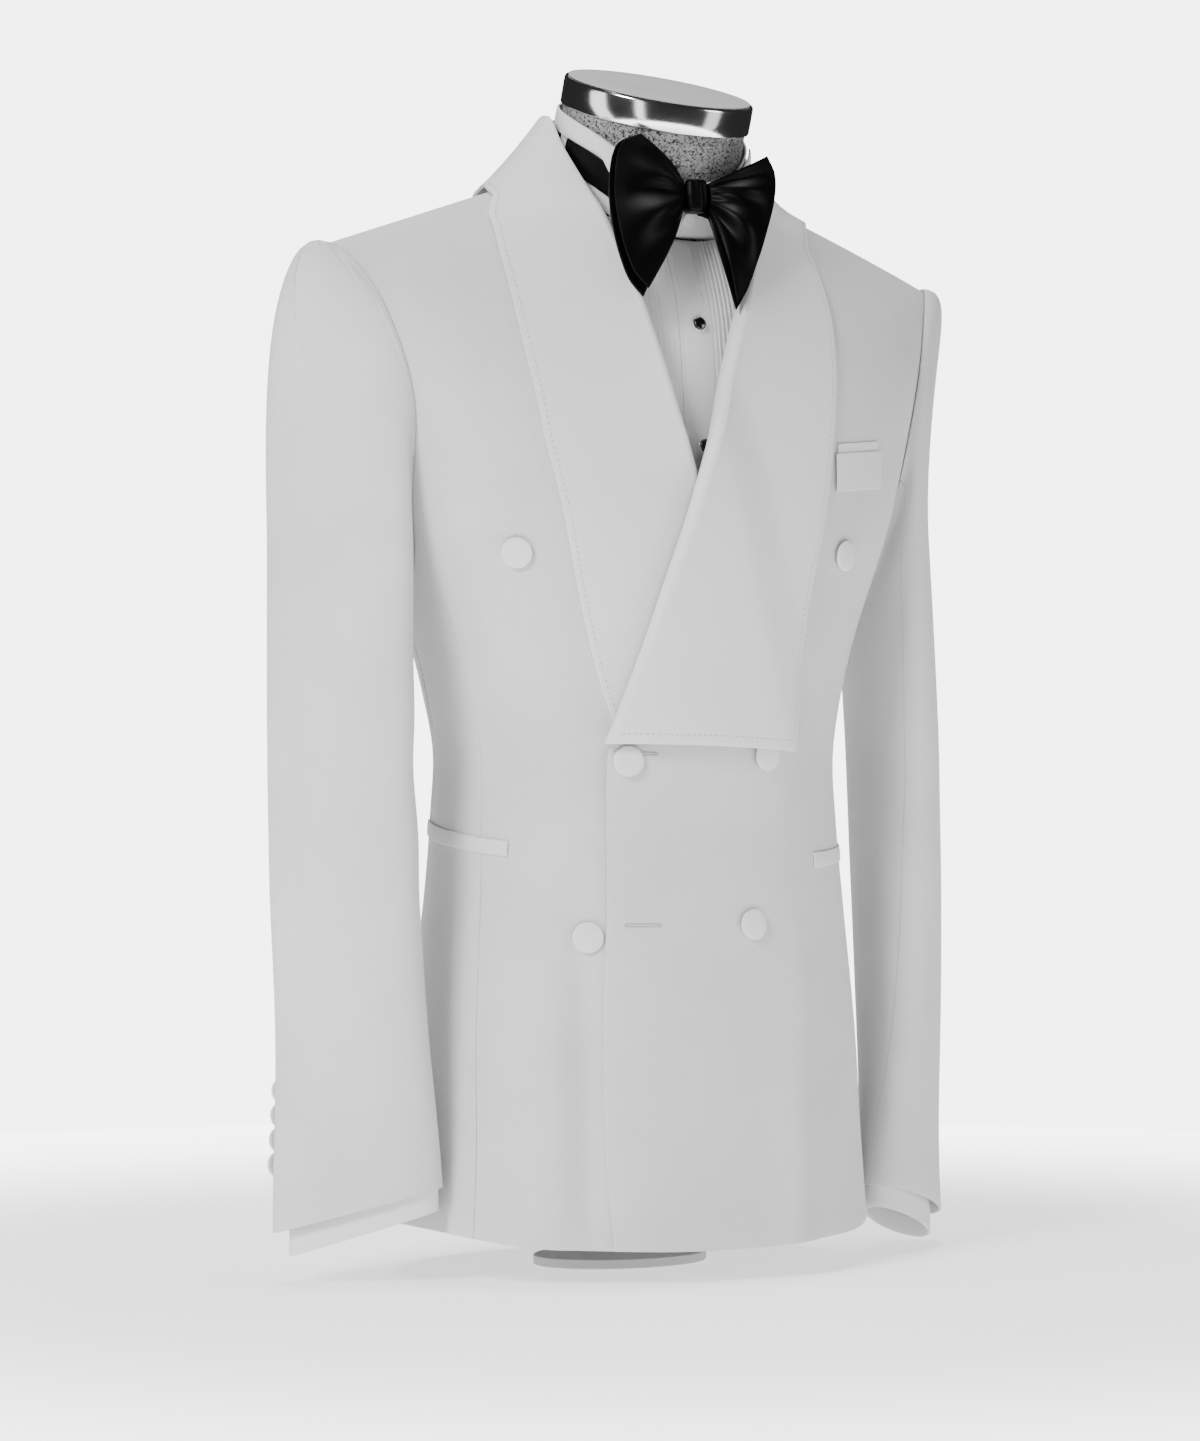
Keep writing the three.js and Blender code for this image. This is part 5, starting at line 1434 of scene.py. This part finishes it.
@dataclass
class Shirt:
    """The parts of the shirt that show."""

    collar = Table("turn top bottom radius", [
        (0, -51, -87, 63.8), (30, -45, -85, 63.8), (64, -30, -73, 63.8), (105, -23.5, -66, 64.2),
        (180, -23, -64, 64.2),
    ])
    flare: float = 1.6
    inset: float = -9.0
    inset_top: float = -5.4
    bottom: float = 425.0
    top: float = 651.9
    rise: float = 0.0062
    placket: float = 14.5
    pleats: int = 9
    pitch: float = 3.4
    tail: float = 30.0

    def radius(self, turn: np.ndarray, along: np.ndarray) -> np.ndarray:
        """Radius of the shirt collar, wider at its foot."""
        turn = np.abs(turn)
        top = self.collar.read("top", turn)
        share = (top - along) / (top - self.collar.read("bottom", turn))
        return self.collar.read("radius", turn) + self.flare * share

    def middle(self, z: np.ndarray) -> np.ndarray:
        """The shirt's middle line."""
        return -6 + (z - 594) * 0.03

    def level(self, z: np.ndarray) -> np.ndarray:
        """How far the shirt lies out of the jacket's surface."""
        return lerp(self.inset, self.inset_top, smooth(560, 652, z))

    def on(self, x: np.ndarray, v: np.ndarray, out: np.ndarray) -> np.ndarray:
        """A point of the shirt front."""
        z = lerp(self.bottom, self.top + self.rise * x * x, v)
        return BODY.on_front(x, z, out + self.level(z))

    def front(self, sign: int) -> np.ndarray:
        """The points of a pleated front."""
        v = np.linspace(0, 1, 70)
        z = lerp(self.bottom, self.top, v)
        start = self.middle(z) + sign * (self.placket + 0.4)
        pleated = self.pleats * self.pitch
        plain = np.linspace(pleated, pleated + self.tail, 10)[1:]
        across = np.concatenate([np.linspace(0, pleated, self.pleats * 9 + 1), plain])
        width = np.where(across <= pleated, across, np.nan)
        outer = lerp(74.0, 57.0, smooth(570, 655, z))
        x = start[:, None] + sign * width[None, :]
        last = start + sign * pleated
        tail = (across - pleated) / self.tail
        reach = np.maximum(outer, np.abs(last) + 2)
        x = np.where(np.isnan(x), last[:, None] + (sign * reach - last)[:, None] * tail[None, :], x)
        phase = np.mod(across / self.pitch, 1.0)
        fold = np.where(across < pleated, 1.15 * np.minimum(phase / 0.18, 1) * (1 - 0.55 * phase), 0.0)
        under = 6.6 * (1 - smooth(560, 600, z))[:, None] * np.clip(tail, 0, 1)[None, :]
        grid = self.on(x, np.broadcast_to(v[:, None], x.shape), fold[None, :] + under)
        return grid if sign > 0 else grid[:, ::-1]

    def stud(self, dresser: Dresser, name: str, z: float) -> None:
        """A black stud in a bright rim."""
        x = float(self.middle(np.array(z)))
        out = float(self.level(z)) + 1.6
        place, normal = BODY.on_front(x, z, out), BODY.front_normal(x, z)
        Workshop.clear()
        bpy.ops.mesh.primitive_torus_add(major_segments=40, minor_segments=10, major_radius=4.5, minor_radius=0.75,
                                         location=(0, 0, 0.9))
        rim_model = bpy.context.object
        bpy.ops.object.transform_apply(location=True, rotation=True, scale=True)
        rim = Workshop.set_on(rim_model, f"{name}_rim", place, normal)
        bpy.data.objects.remove(rim_model)
        Workshop.shade(rim, 60)
        model = Workshop.covered_button("face_model", 4.1, 3.4)
        face = Workshop.set_on(model, f"{name}_face", place, normal)
        bpy.data.objects.remove(model)
        dresser.wear(face, "stud", "stud", name)
        dresser.wear(rim, "rim", "chrome")

    def wing(self) -> np.ndarray:
        """The points of the left wing."""
        u, v = np.meshgrid(np.linspace(0, 1, 40), np.linspace(1, 0, 30))
        turn = lerp(lerp(9.0, 66.0, u), lerp(33.0, 38.0, u), v)
        along = self.collar.read("top", turn) - 0.5 - 26 * v
        lift = 4.1 + 1.0 * v**2 - 1.6 * (1 - v) ** 6
        return NECK.on(along, turn, self.radius(turn, along) + lift)

    def make(self, dresser: Dresser) -> None:
        """Builds and dresses the shirt."""
        turns = np.linspace(-180, 180, 145)[1:]
        rows = np.linspace(0, 1, 18)[:, None]
        low, high = (self.collar.read(name, np.abs(turns))[None, :] for name in ("bottom", "top"))
        along = lerp(low, high, rows)
        turn = np.broadcast_to(turns[None, :], along.shape)
        band = Workshop.cloth("wing_collar_band", NECK.on(along, turn, self.radius(turn, along)), 1.4, wraps=True)
        dresser.wear(band, "shirting", "shirting", "shirt_collar")
        wing = self.wing()
        for side in Side:
            piece = Workshop.cloth(f"collar_wing_{side.word}", on_side(side, wing), 1.4)
            dresser.wear(piece, "shirting", "shirting", f"shirt_wing_{side.word}")
            front = Workshop.cloth(f"pleated_front_{side.word}", self.front(side.value), 1.3, edge=0.3)
            dresser.wear(front, "shirting", "shirting", f"shirt_front_{side.word}")
        v = np.linspace(0, 1, 70)
        middle = self.middle(lerp(self.bottom, self.top, v))
        across = np.linspace(-self.placket, self.placket, 64)
        x = middle[:, None] + across[None, :]
        stitch = -0.28 * (bell(across, -11.2, 0.7) + bell(across, 11.2, 0.7))
        grid = self.on(x, np.broadcast_to(v[:, None], x.shape), 0.5 + stitch[None, :])
        placket = Workshop.cloth("shirt_placket_cloth", grid, 1.8)
        dresser.wear(placket, "shirting", "shirting", "shirt_placket")
        self.stud(dresser, "stud_upper", 594)
        self.stud(dresser, "stud_lower", 513)
        spot = NECK.on(np.array(-74.0), np.array(0.0), np.array(66.2))
        ahead = NECK.on(np.array(-74.0), np.array(0.0), np.array(67.2))
        model = Workshop.covered_button("pearl_model", 5.2, 2.6)
        button = Workshop.set_on(model, "pearl_button", spot, unit(ahead - spot))
        bpy.data.objects.remove(model)
        dresser.wear(button, "pearl", "pearl", "collar_button")


@dataclass
class BowTie:
    """The bow: two lobes a side, the knot, the band and its clasp."""

    x: float = -3.0
    y: float = -82.6
    z: float = 677.0
    wide: float = 17.0
    tall: float = 21.0
    front: float = 6.3
    back: float = 8.5
    lean: float = 3.9

    edges = {
        Side.RIGHT: Table("v x y z", [(0, -42, -78, 715), (0.18, -57.5, -80, 707), (0.42, -66, -86, 681),
                                      (0.64, -70, -98.5, 652), (0.85, -66, -109, 623), (1, -57, -114, 610)]),
        Side.LEFT: Table("v x y z", [(0, 52.5, -81, 708), (0.18, 58, -82, 696), (0.42, 52, -90, 676),
                                     (0.64, 37.5, -100, 647), (0.85, 23, -108, 622), (1, 10.5, -113, 606)]),
    }

    def lobe(self, side: Side, behind: bool) -> np.ndarray:
        """The points of one layer of a lobe."""
        sign, table = side.value, self.edges[side]
        u, v = np.meshgrid(np.linspace(0, 1, 54), np.linspace(1, 0, 64))
        edge = np.stack([table.read(name, v) for name in ("x", "y", "z")], axis=-1)
        start = np.stack([np.full_like(v, self.x + sign * (self.wide / 2 + 1.0)), np.full_like(v, self.y),
                          self.z + self.tall * 0.42 * (1 - 2 * v)], axis=-1)
        point = lerp(start, edge, u[..., None])
        swell = 11 * np.sin(math.pi * u**0.8) * np.sin(math.pi * lerp(0.12, 0.88, v))
        gather = np.exp(-3.2 * u) * np.minimum(1, u * 9)
        pleats = 1.5 * np.sin(2 * math.pi * 4.2 * v + 1.9 * sign) * gather
        fold = 1.6 * np.cos(2 * math.pi * 3 * v) * np.sin(math.pi * u)
        crease = -2.2 * bell(v, 0.36 + 0.12 * u, 0.07) * np.sin(math.pi * np.clip(u * 1.15, 0, 1))
        crease += 1.6 * bell(v, 0.68 - 0.06 * u, 0.09) * np.sin(math.pi * u)
        if behind:
            point[..., 1] -= 0.35 * swell - 4.6 * np.minimum(1, 0.6 + u) + 0.4 * pleats
            point += np.stack([sign * 1.5 * u, np.zeros_like(u), -5.0 * u * v], axis=-1)
        else:
            point[..., 1] -= swell + fold + pleats + crease
        return point if sign > 0 else point[:, ::-1]

    def knot_rings(self) -> np.ndarray:
        """The rings of the knot, with its gathered folds."""
        turn = np.radians(np.linspace(0, 360, 73)[1:])
        cosine, sine = np.cos(turn), np.sin(turn)
        rings = []
        for share in np.linspace(-1, 1, 25):
            grow = np.interp(abs(share), [0, 0.8, 0.93, 1], [1, 0.93, 0.84, 0.7])
            folds = 0.45 * np.cos(turn * 7 + share * 0.9) * np.maximum(cosine, 0)
            deep = np.where(cosine > 0, self.front + folds, self.back - self.lean * share)
            rings.append(np.stack([self.x + self.wide / 2 * grow * sine, self.y - deep * grow * cosine,
                                   np.full_like(turn, self.z + self.tall / 2 * share)], axis=-1))
        return np.array(rings)

    def clasp(self, shirt: Shirt) -> bpy.types.Object:
        """The small metal slide on the band, on the wearer's right."""
        u, v = np.meshgrid(np.linspace(0, 1, 12), np.linspace(1, 0, 10))
        turn = lerp(83.0, 89.0, u)
        along = shirt.collar.read("top", turn) - 11.0 - 21 * v
        grid = NECK.on(along, turn, shirt.radius(turn, along) + 3.6)
        return Workshop.cloth("band_slide", mirrored(grid), 0.9, edge=0.3)

    def make(self, dresser: Dresser, shirt: Shirt) -> None:
        """Builds and dresses the bow tie."""
        knot = Workshop.turned("bow_knot_silk", self.knot_rings())
        dresser.wear(knot, "silk", "silk", "bow_knot")
        for side in Side:
            for layer, behind in (("front", False), ("rear", True)):
                piece = Workshop.cloth(f"bow_lobe_{layer}_{side.word}", self.lobe(side, behind), 1.7, edge=0.6)
                dresser.wear(piece, "silk", "silk", f"bow_{layer}_{side.word}")
            u, v = np.meshgrid(np.linspace(0, 1, 120), np.linspace(1, 0, 12))
            turn = lerp(5.2, 179.6, u)
            below = lerp(1.0, 12.0, smooth(0, 32, turn))
            along = shirt.collar.read("top", turn) - below - 19 * v
            grid = NECK.on(along, turn, shirt.radius(turn, along) + 2.1)
            band = Workshop.cloth(f"neck_band_{side.word}", on_side(side, grid), 1.6)
            dresser.wear(band, "silk", "silk", f"bow_band_{side.word}")
            extra = [dresser.wear(self.clasp(shirt), "rim", "chrome")] if side is Side.RIGHT else []


@dataclass
class Form:
    """The limbless form in the clothes."""

    under: float = 3.4
    inset: float = 13.0
    widest: float = 196.0
    turns = np.linspace(0, 360, 97)[1:]

    def ring(self, z: float, tilt: float = 0.0) -> np.ndarray:
        """A ring of the trunk, inside the cloth."""
        ridge = BODY.tip_x - (z + self.under - BODY.tip_z) / BODY.slope
        half = min(float(BODY.torso.read("half", z)) - self.inset, self.widest, ridge)
        sine, cosine = np.sin(np.radians(self.turns)), np.cos(np.radians(self.turns))
        x = half * np.sign(sine) * np.abs(sine) ** (2 / BODY.shape)
        height = np.minimum(z - tilt * cosine, BODY.shoulder_z(x) - self.under - 0.4)
        inset = lerp(self.inset, np.where(cosine > 0, 10.5, 6.0), smooth(560, 660, z))
        depth = np.where(cosine > 0, BODY.torso.read("front", height), BODY.torso.read("back", height)) - inset
        cap = BODY.cap_share(np.maximum(0.02, BODY.shoulder_z(x) - self.under - height))
        y = -depth * cap * np.sign(cosine) * np.abs(cosine) ** (2 / BODY.shape)
        return np.stack([x, y, height], axis=-1)

    def oval(self, half_x: float, half_y: float, middle: float, z: float) -> np.ndarray:
        """A level oval ring."""
        angle = np.radians(self.turns)
        return np.stack([half_x * np.sin(angle), middle - half_y * np.cos(angle), np.full_like(angle, z)], axis=-1)

    def around(self, along: float, radius: float) -> np.ndarray:
        """A ring round the neck."""
        return NECK.on(np.full_like(self.turns, along), self.turns, np.full_like(self.turns, radius))

    def make(self, dresser: Dresser) -> None:
        """Builds and dresses the form."""
        rings = [self.oval(a, b, 2, z) for a, b, z in ((84, 60, 90), (92, 66, 90.8), (108, 76, 95), (122, 84, 104))]
        rings += [self.ring(z) for z in (140, 210, 270, 315, 365, 410, 460, 515, 570, 612)]
        rings += [self.ring(636, 4), self.ring(650, 10), self.ring(663, 17)]
        rings += [self.around(*step) for step in ((-88, 63), (-68, 62.6), (-45, 62.4), (-34, 61.8), (-20.4, 61))]
        torso = Workshop.turned("form_torso", np.array(rings))
        dresser.wear(torso, "knit", "knit", "form_body")
        band = [(-20, 62.4), (-19.7, 63.1), (-19, 63.5), (-12, 63.6), (-3, 63.5), (-1.9, 63.2), (-1.4, 62.6),
                (-1.4, 62.0)]
        ring = Workshop.turned("neck_ring_metal", np.array([self.around(*step) for step in band]))
        dresser.wear(ring, "chrome", "chrome", "form_neck_ring")
        disc = [(-1.1, 60.4), (-1.0, 61.0), (-0.5, 61.1), (-0.1, 60.8), (0, 60.2), (0, 40), (0, 20)]
        cap = Workshop.turned("cap_disc_top", np.array([self.around(*step) for step in disc]))
        dresser.wear(cap, "cap", "cap", "form_cap")
        floor = -HEM_HEIGHT
        foot = [(61, 43, 0), (62, 44, 0.8), (62, 44, 6.2), (61, 43, 7), (46, 37, 8.6), (41, 33, 10), (40, 32, 14),
                (40, 32, 89.6 - floor)]
        base = Workshop.turned("foot_post", np.array([self.oval(a, b, 20, floor + z) for a, b, z in foot]))
        dresser.wear(base, "foot", "foot", "form_foot")


@dataclass
class Studio:
    """The floor, the light and the camera."""

    camera_place: tuple = (-1.3204, -2.2400, 0.302)
    look: tuple = (0.5, 0.8660254)
    pitch: float = 1.315
    lens: float = 97.4
    sensor: float = 36.0
    white: float = 5.5
    lit: float = 0.14
    dim: float = 0.03
    floor_radius: float = 1.2

    def area(self, name: str, place: tuple, target: tuple, size: tuple, power: float) -> None:
        """Adds a soft light by its width and height."""
        light = bpy.data.lights.new(name, "AREA")
        light.shape = "RECTANGLE"
        light.size, light.size_y = size
        light.energy = power
        lamp = bpy.data.objects.new(name, light)
        bpy.context.collection.objects.link(lamp)
        lamp.location = place
        lamp.rotation_euler = (Vector(target) - Vector(place)).to_track_quat("-Z", "Y").to_euler()

    def world(self) -> None:
        """A surround that the camera sees white, and that lights the cloth more than it shows in polished metal."""
        world = bpy.data.worlds.new("studio")
        bpy.context.scene.world = world
        world.use_nodes = True
        nodes = Nodes(world.node_tree)
        path = nodes.add("ShaderNodeLightPath")
        shade = world.node_tree.nodes["Background"]
        shade.inputs["Color"].default_value = (1, 1, 1, 1)
        shade.inputs["Strength"].default_value = self.lit
        surface = shade.outputs[0]
        for ray, strength in (("Is Glossy Ray", self.dim), ("Is Camera Ray", self.white)):
            shade = nodes.add("ShaderNodeBackground", Color=(1, 1, 1, 1), Strength=strength)
            mix = nodes.add("ShaderNodeMixShader")
            for socket, value in zip(mix.inputs, (path.outputs[ray], surface, shade.outputs[0])):
                nodes.feed(socket, value)
            surface = mix.outputs[0]
        nodes.feed(world.node_tree.nodes["World Output"].inputs["Surface"], surface)

    def glowing_paper(self) -> bpy.types.Material:
        """White floor paper that glows with painted light: its emission is weakest under the form and grows away from
        it, so it fades into the surround.
        """
        material = bpy.data.materials.new("glowing_floor_paper")
        material.use_nodes = True
        nodes = Nodes(material.node_tree)
        shader = material.node_tree.nodes["Principled BSDF"]
        shader.inputs["Base Color"].default_value = (0.9, 0.9, 0.9, 1)
        shader.inputs["Roughness"].default_value = 1.0
        # Painted light: the floor glows though it is no lamp, dim under the form and brighter towards its rim.
        shader.inputs["Emission Color"].default_value = (1, 1, 1, 1)
        length = nodes.add("ShaderNodeVectorMath")
        length.operation = "LENGTH"
        nodes.feed(length.inputs[0], nodes.add("ShaderNodeTexCoord").outputs["Object"])
        fade = nodes.add("ShaderNodeMapRange", Value=length.outputs["Value"], From_Min=0.4, From_Max=1.17,
                         To_Min=self.white * 0.2, To_Max=self.white * 0.94)
        fade.interpolation_type = "SMOOTHSTEP"
        nodes.feed(shader.inputs["Emission Strength"], fade.outputs[0])
        return material

    def make(self) -> None:
        """Builds the studio."""
        Workshop.clear()
        # The floor disc glows with painted light from its material.
        bpy.ops.mesh.primitive_circle_add(vertices=96, radius=self.floor_radius, fill_type="NGON", location=(0, 0, 0))
        floor = bpy.context.object
        floor.name = "studio_glowing_floor"
        floor.data.materials.append(self.glowing_paper())
        self.world()
        self.area("key_light", (-3.2, -1.6, 2.4), (0, 0, 0.4), (1.2, 1.2), 185)
        self.area("fill_light", (2.4, -2.8, 1.3), (0, 0, 0.4), (1.2, 1.6), 26)
        self.area("top_light", (0.2, 0.3, 3.2), (0, 0, 0.4), (1.4, 1.4), 66)
        self.area("left_strip", (-2.5, 0.6, 0.1), (0, 0, 0.1), (1.0, 2.4), 20)
        self.area("middle_strip", (-2.45, -2.0, 0.1), (0, 0, 0.1), (0.5, 2.4), 12)
        self.area("right_strip", (1.8, -1.9, 0.1), (0, 0, 0.1), (0.8, 2.4), 10)
        camera = bpy.data.cameras.new("camera")
        camera.sensor_fit = "VERTICAL"
        camera.sensor_height = self.sensor
        camera.lens = self.lens
        rig = bpy.data.objects.new("camera", camera)
        bpy.context.collection.objects.link(rig)
        tilt = math.radians(self.pitch)
        aim = Vector((self.look[0] * math.cos(tilt), self.look[1] * math.cos(tilt), math.sin(tilt)))
        rig.location = self.camera_place
        rig.rotation_euler = aim.to_track_quat("-Z", "Y").to_euler()
        bpy.context.scene.camera = rig


def main() -> None:
    """Builds the studio and every piece."""
    Studio().make()
    dresser = Dresser()
    sleeves, shirt = Sleeves(), Shirt()
    Form().make(dresser)
    Jacket().make(dresser)
    Collar().make(dresser)
    sleeves.make(dresser)
    Buttons().make(dresser, sleeves)
    Pockets().make(dresser)
    shirt.make(dresser)
    BowTie().make(dresser, shirt)
    Workshop.clear()


if __name__ == "__main__":
    main()
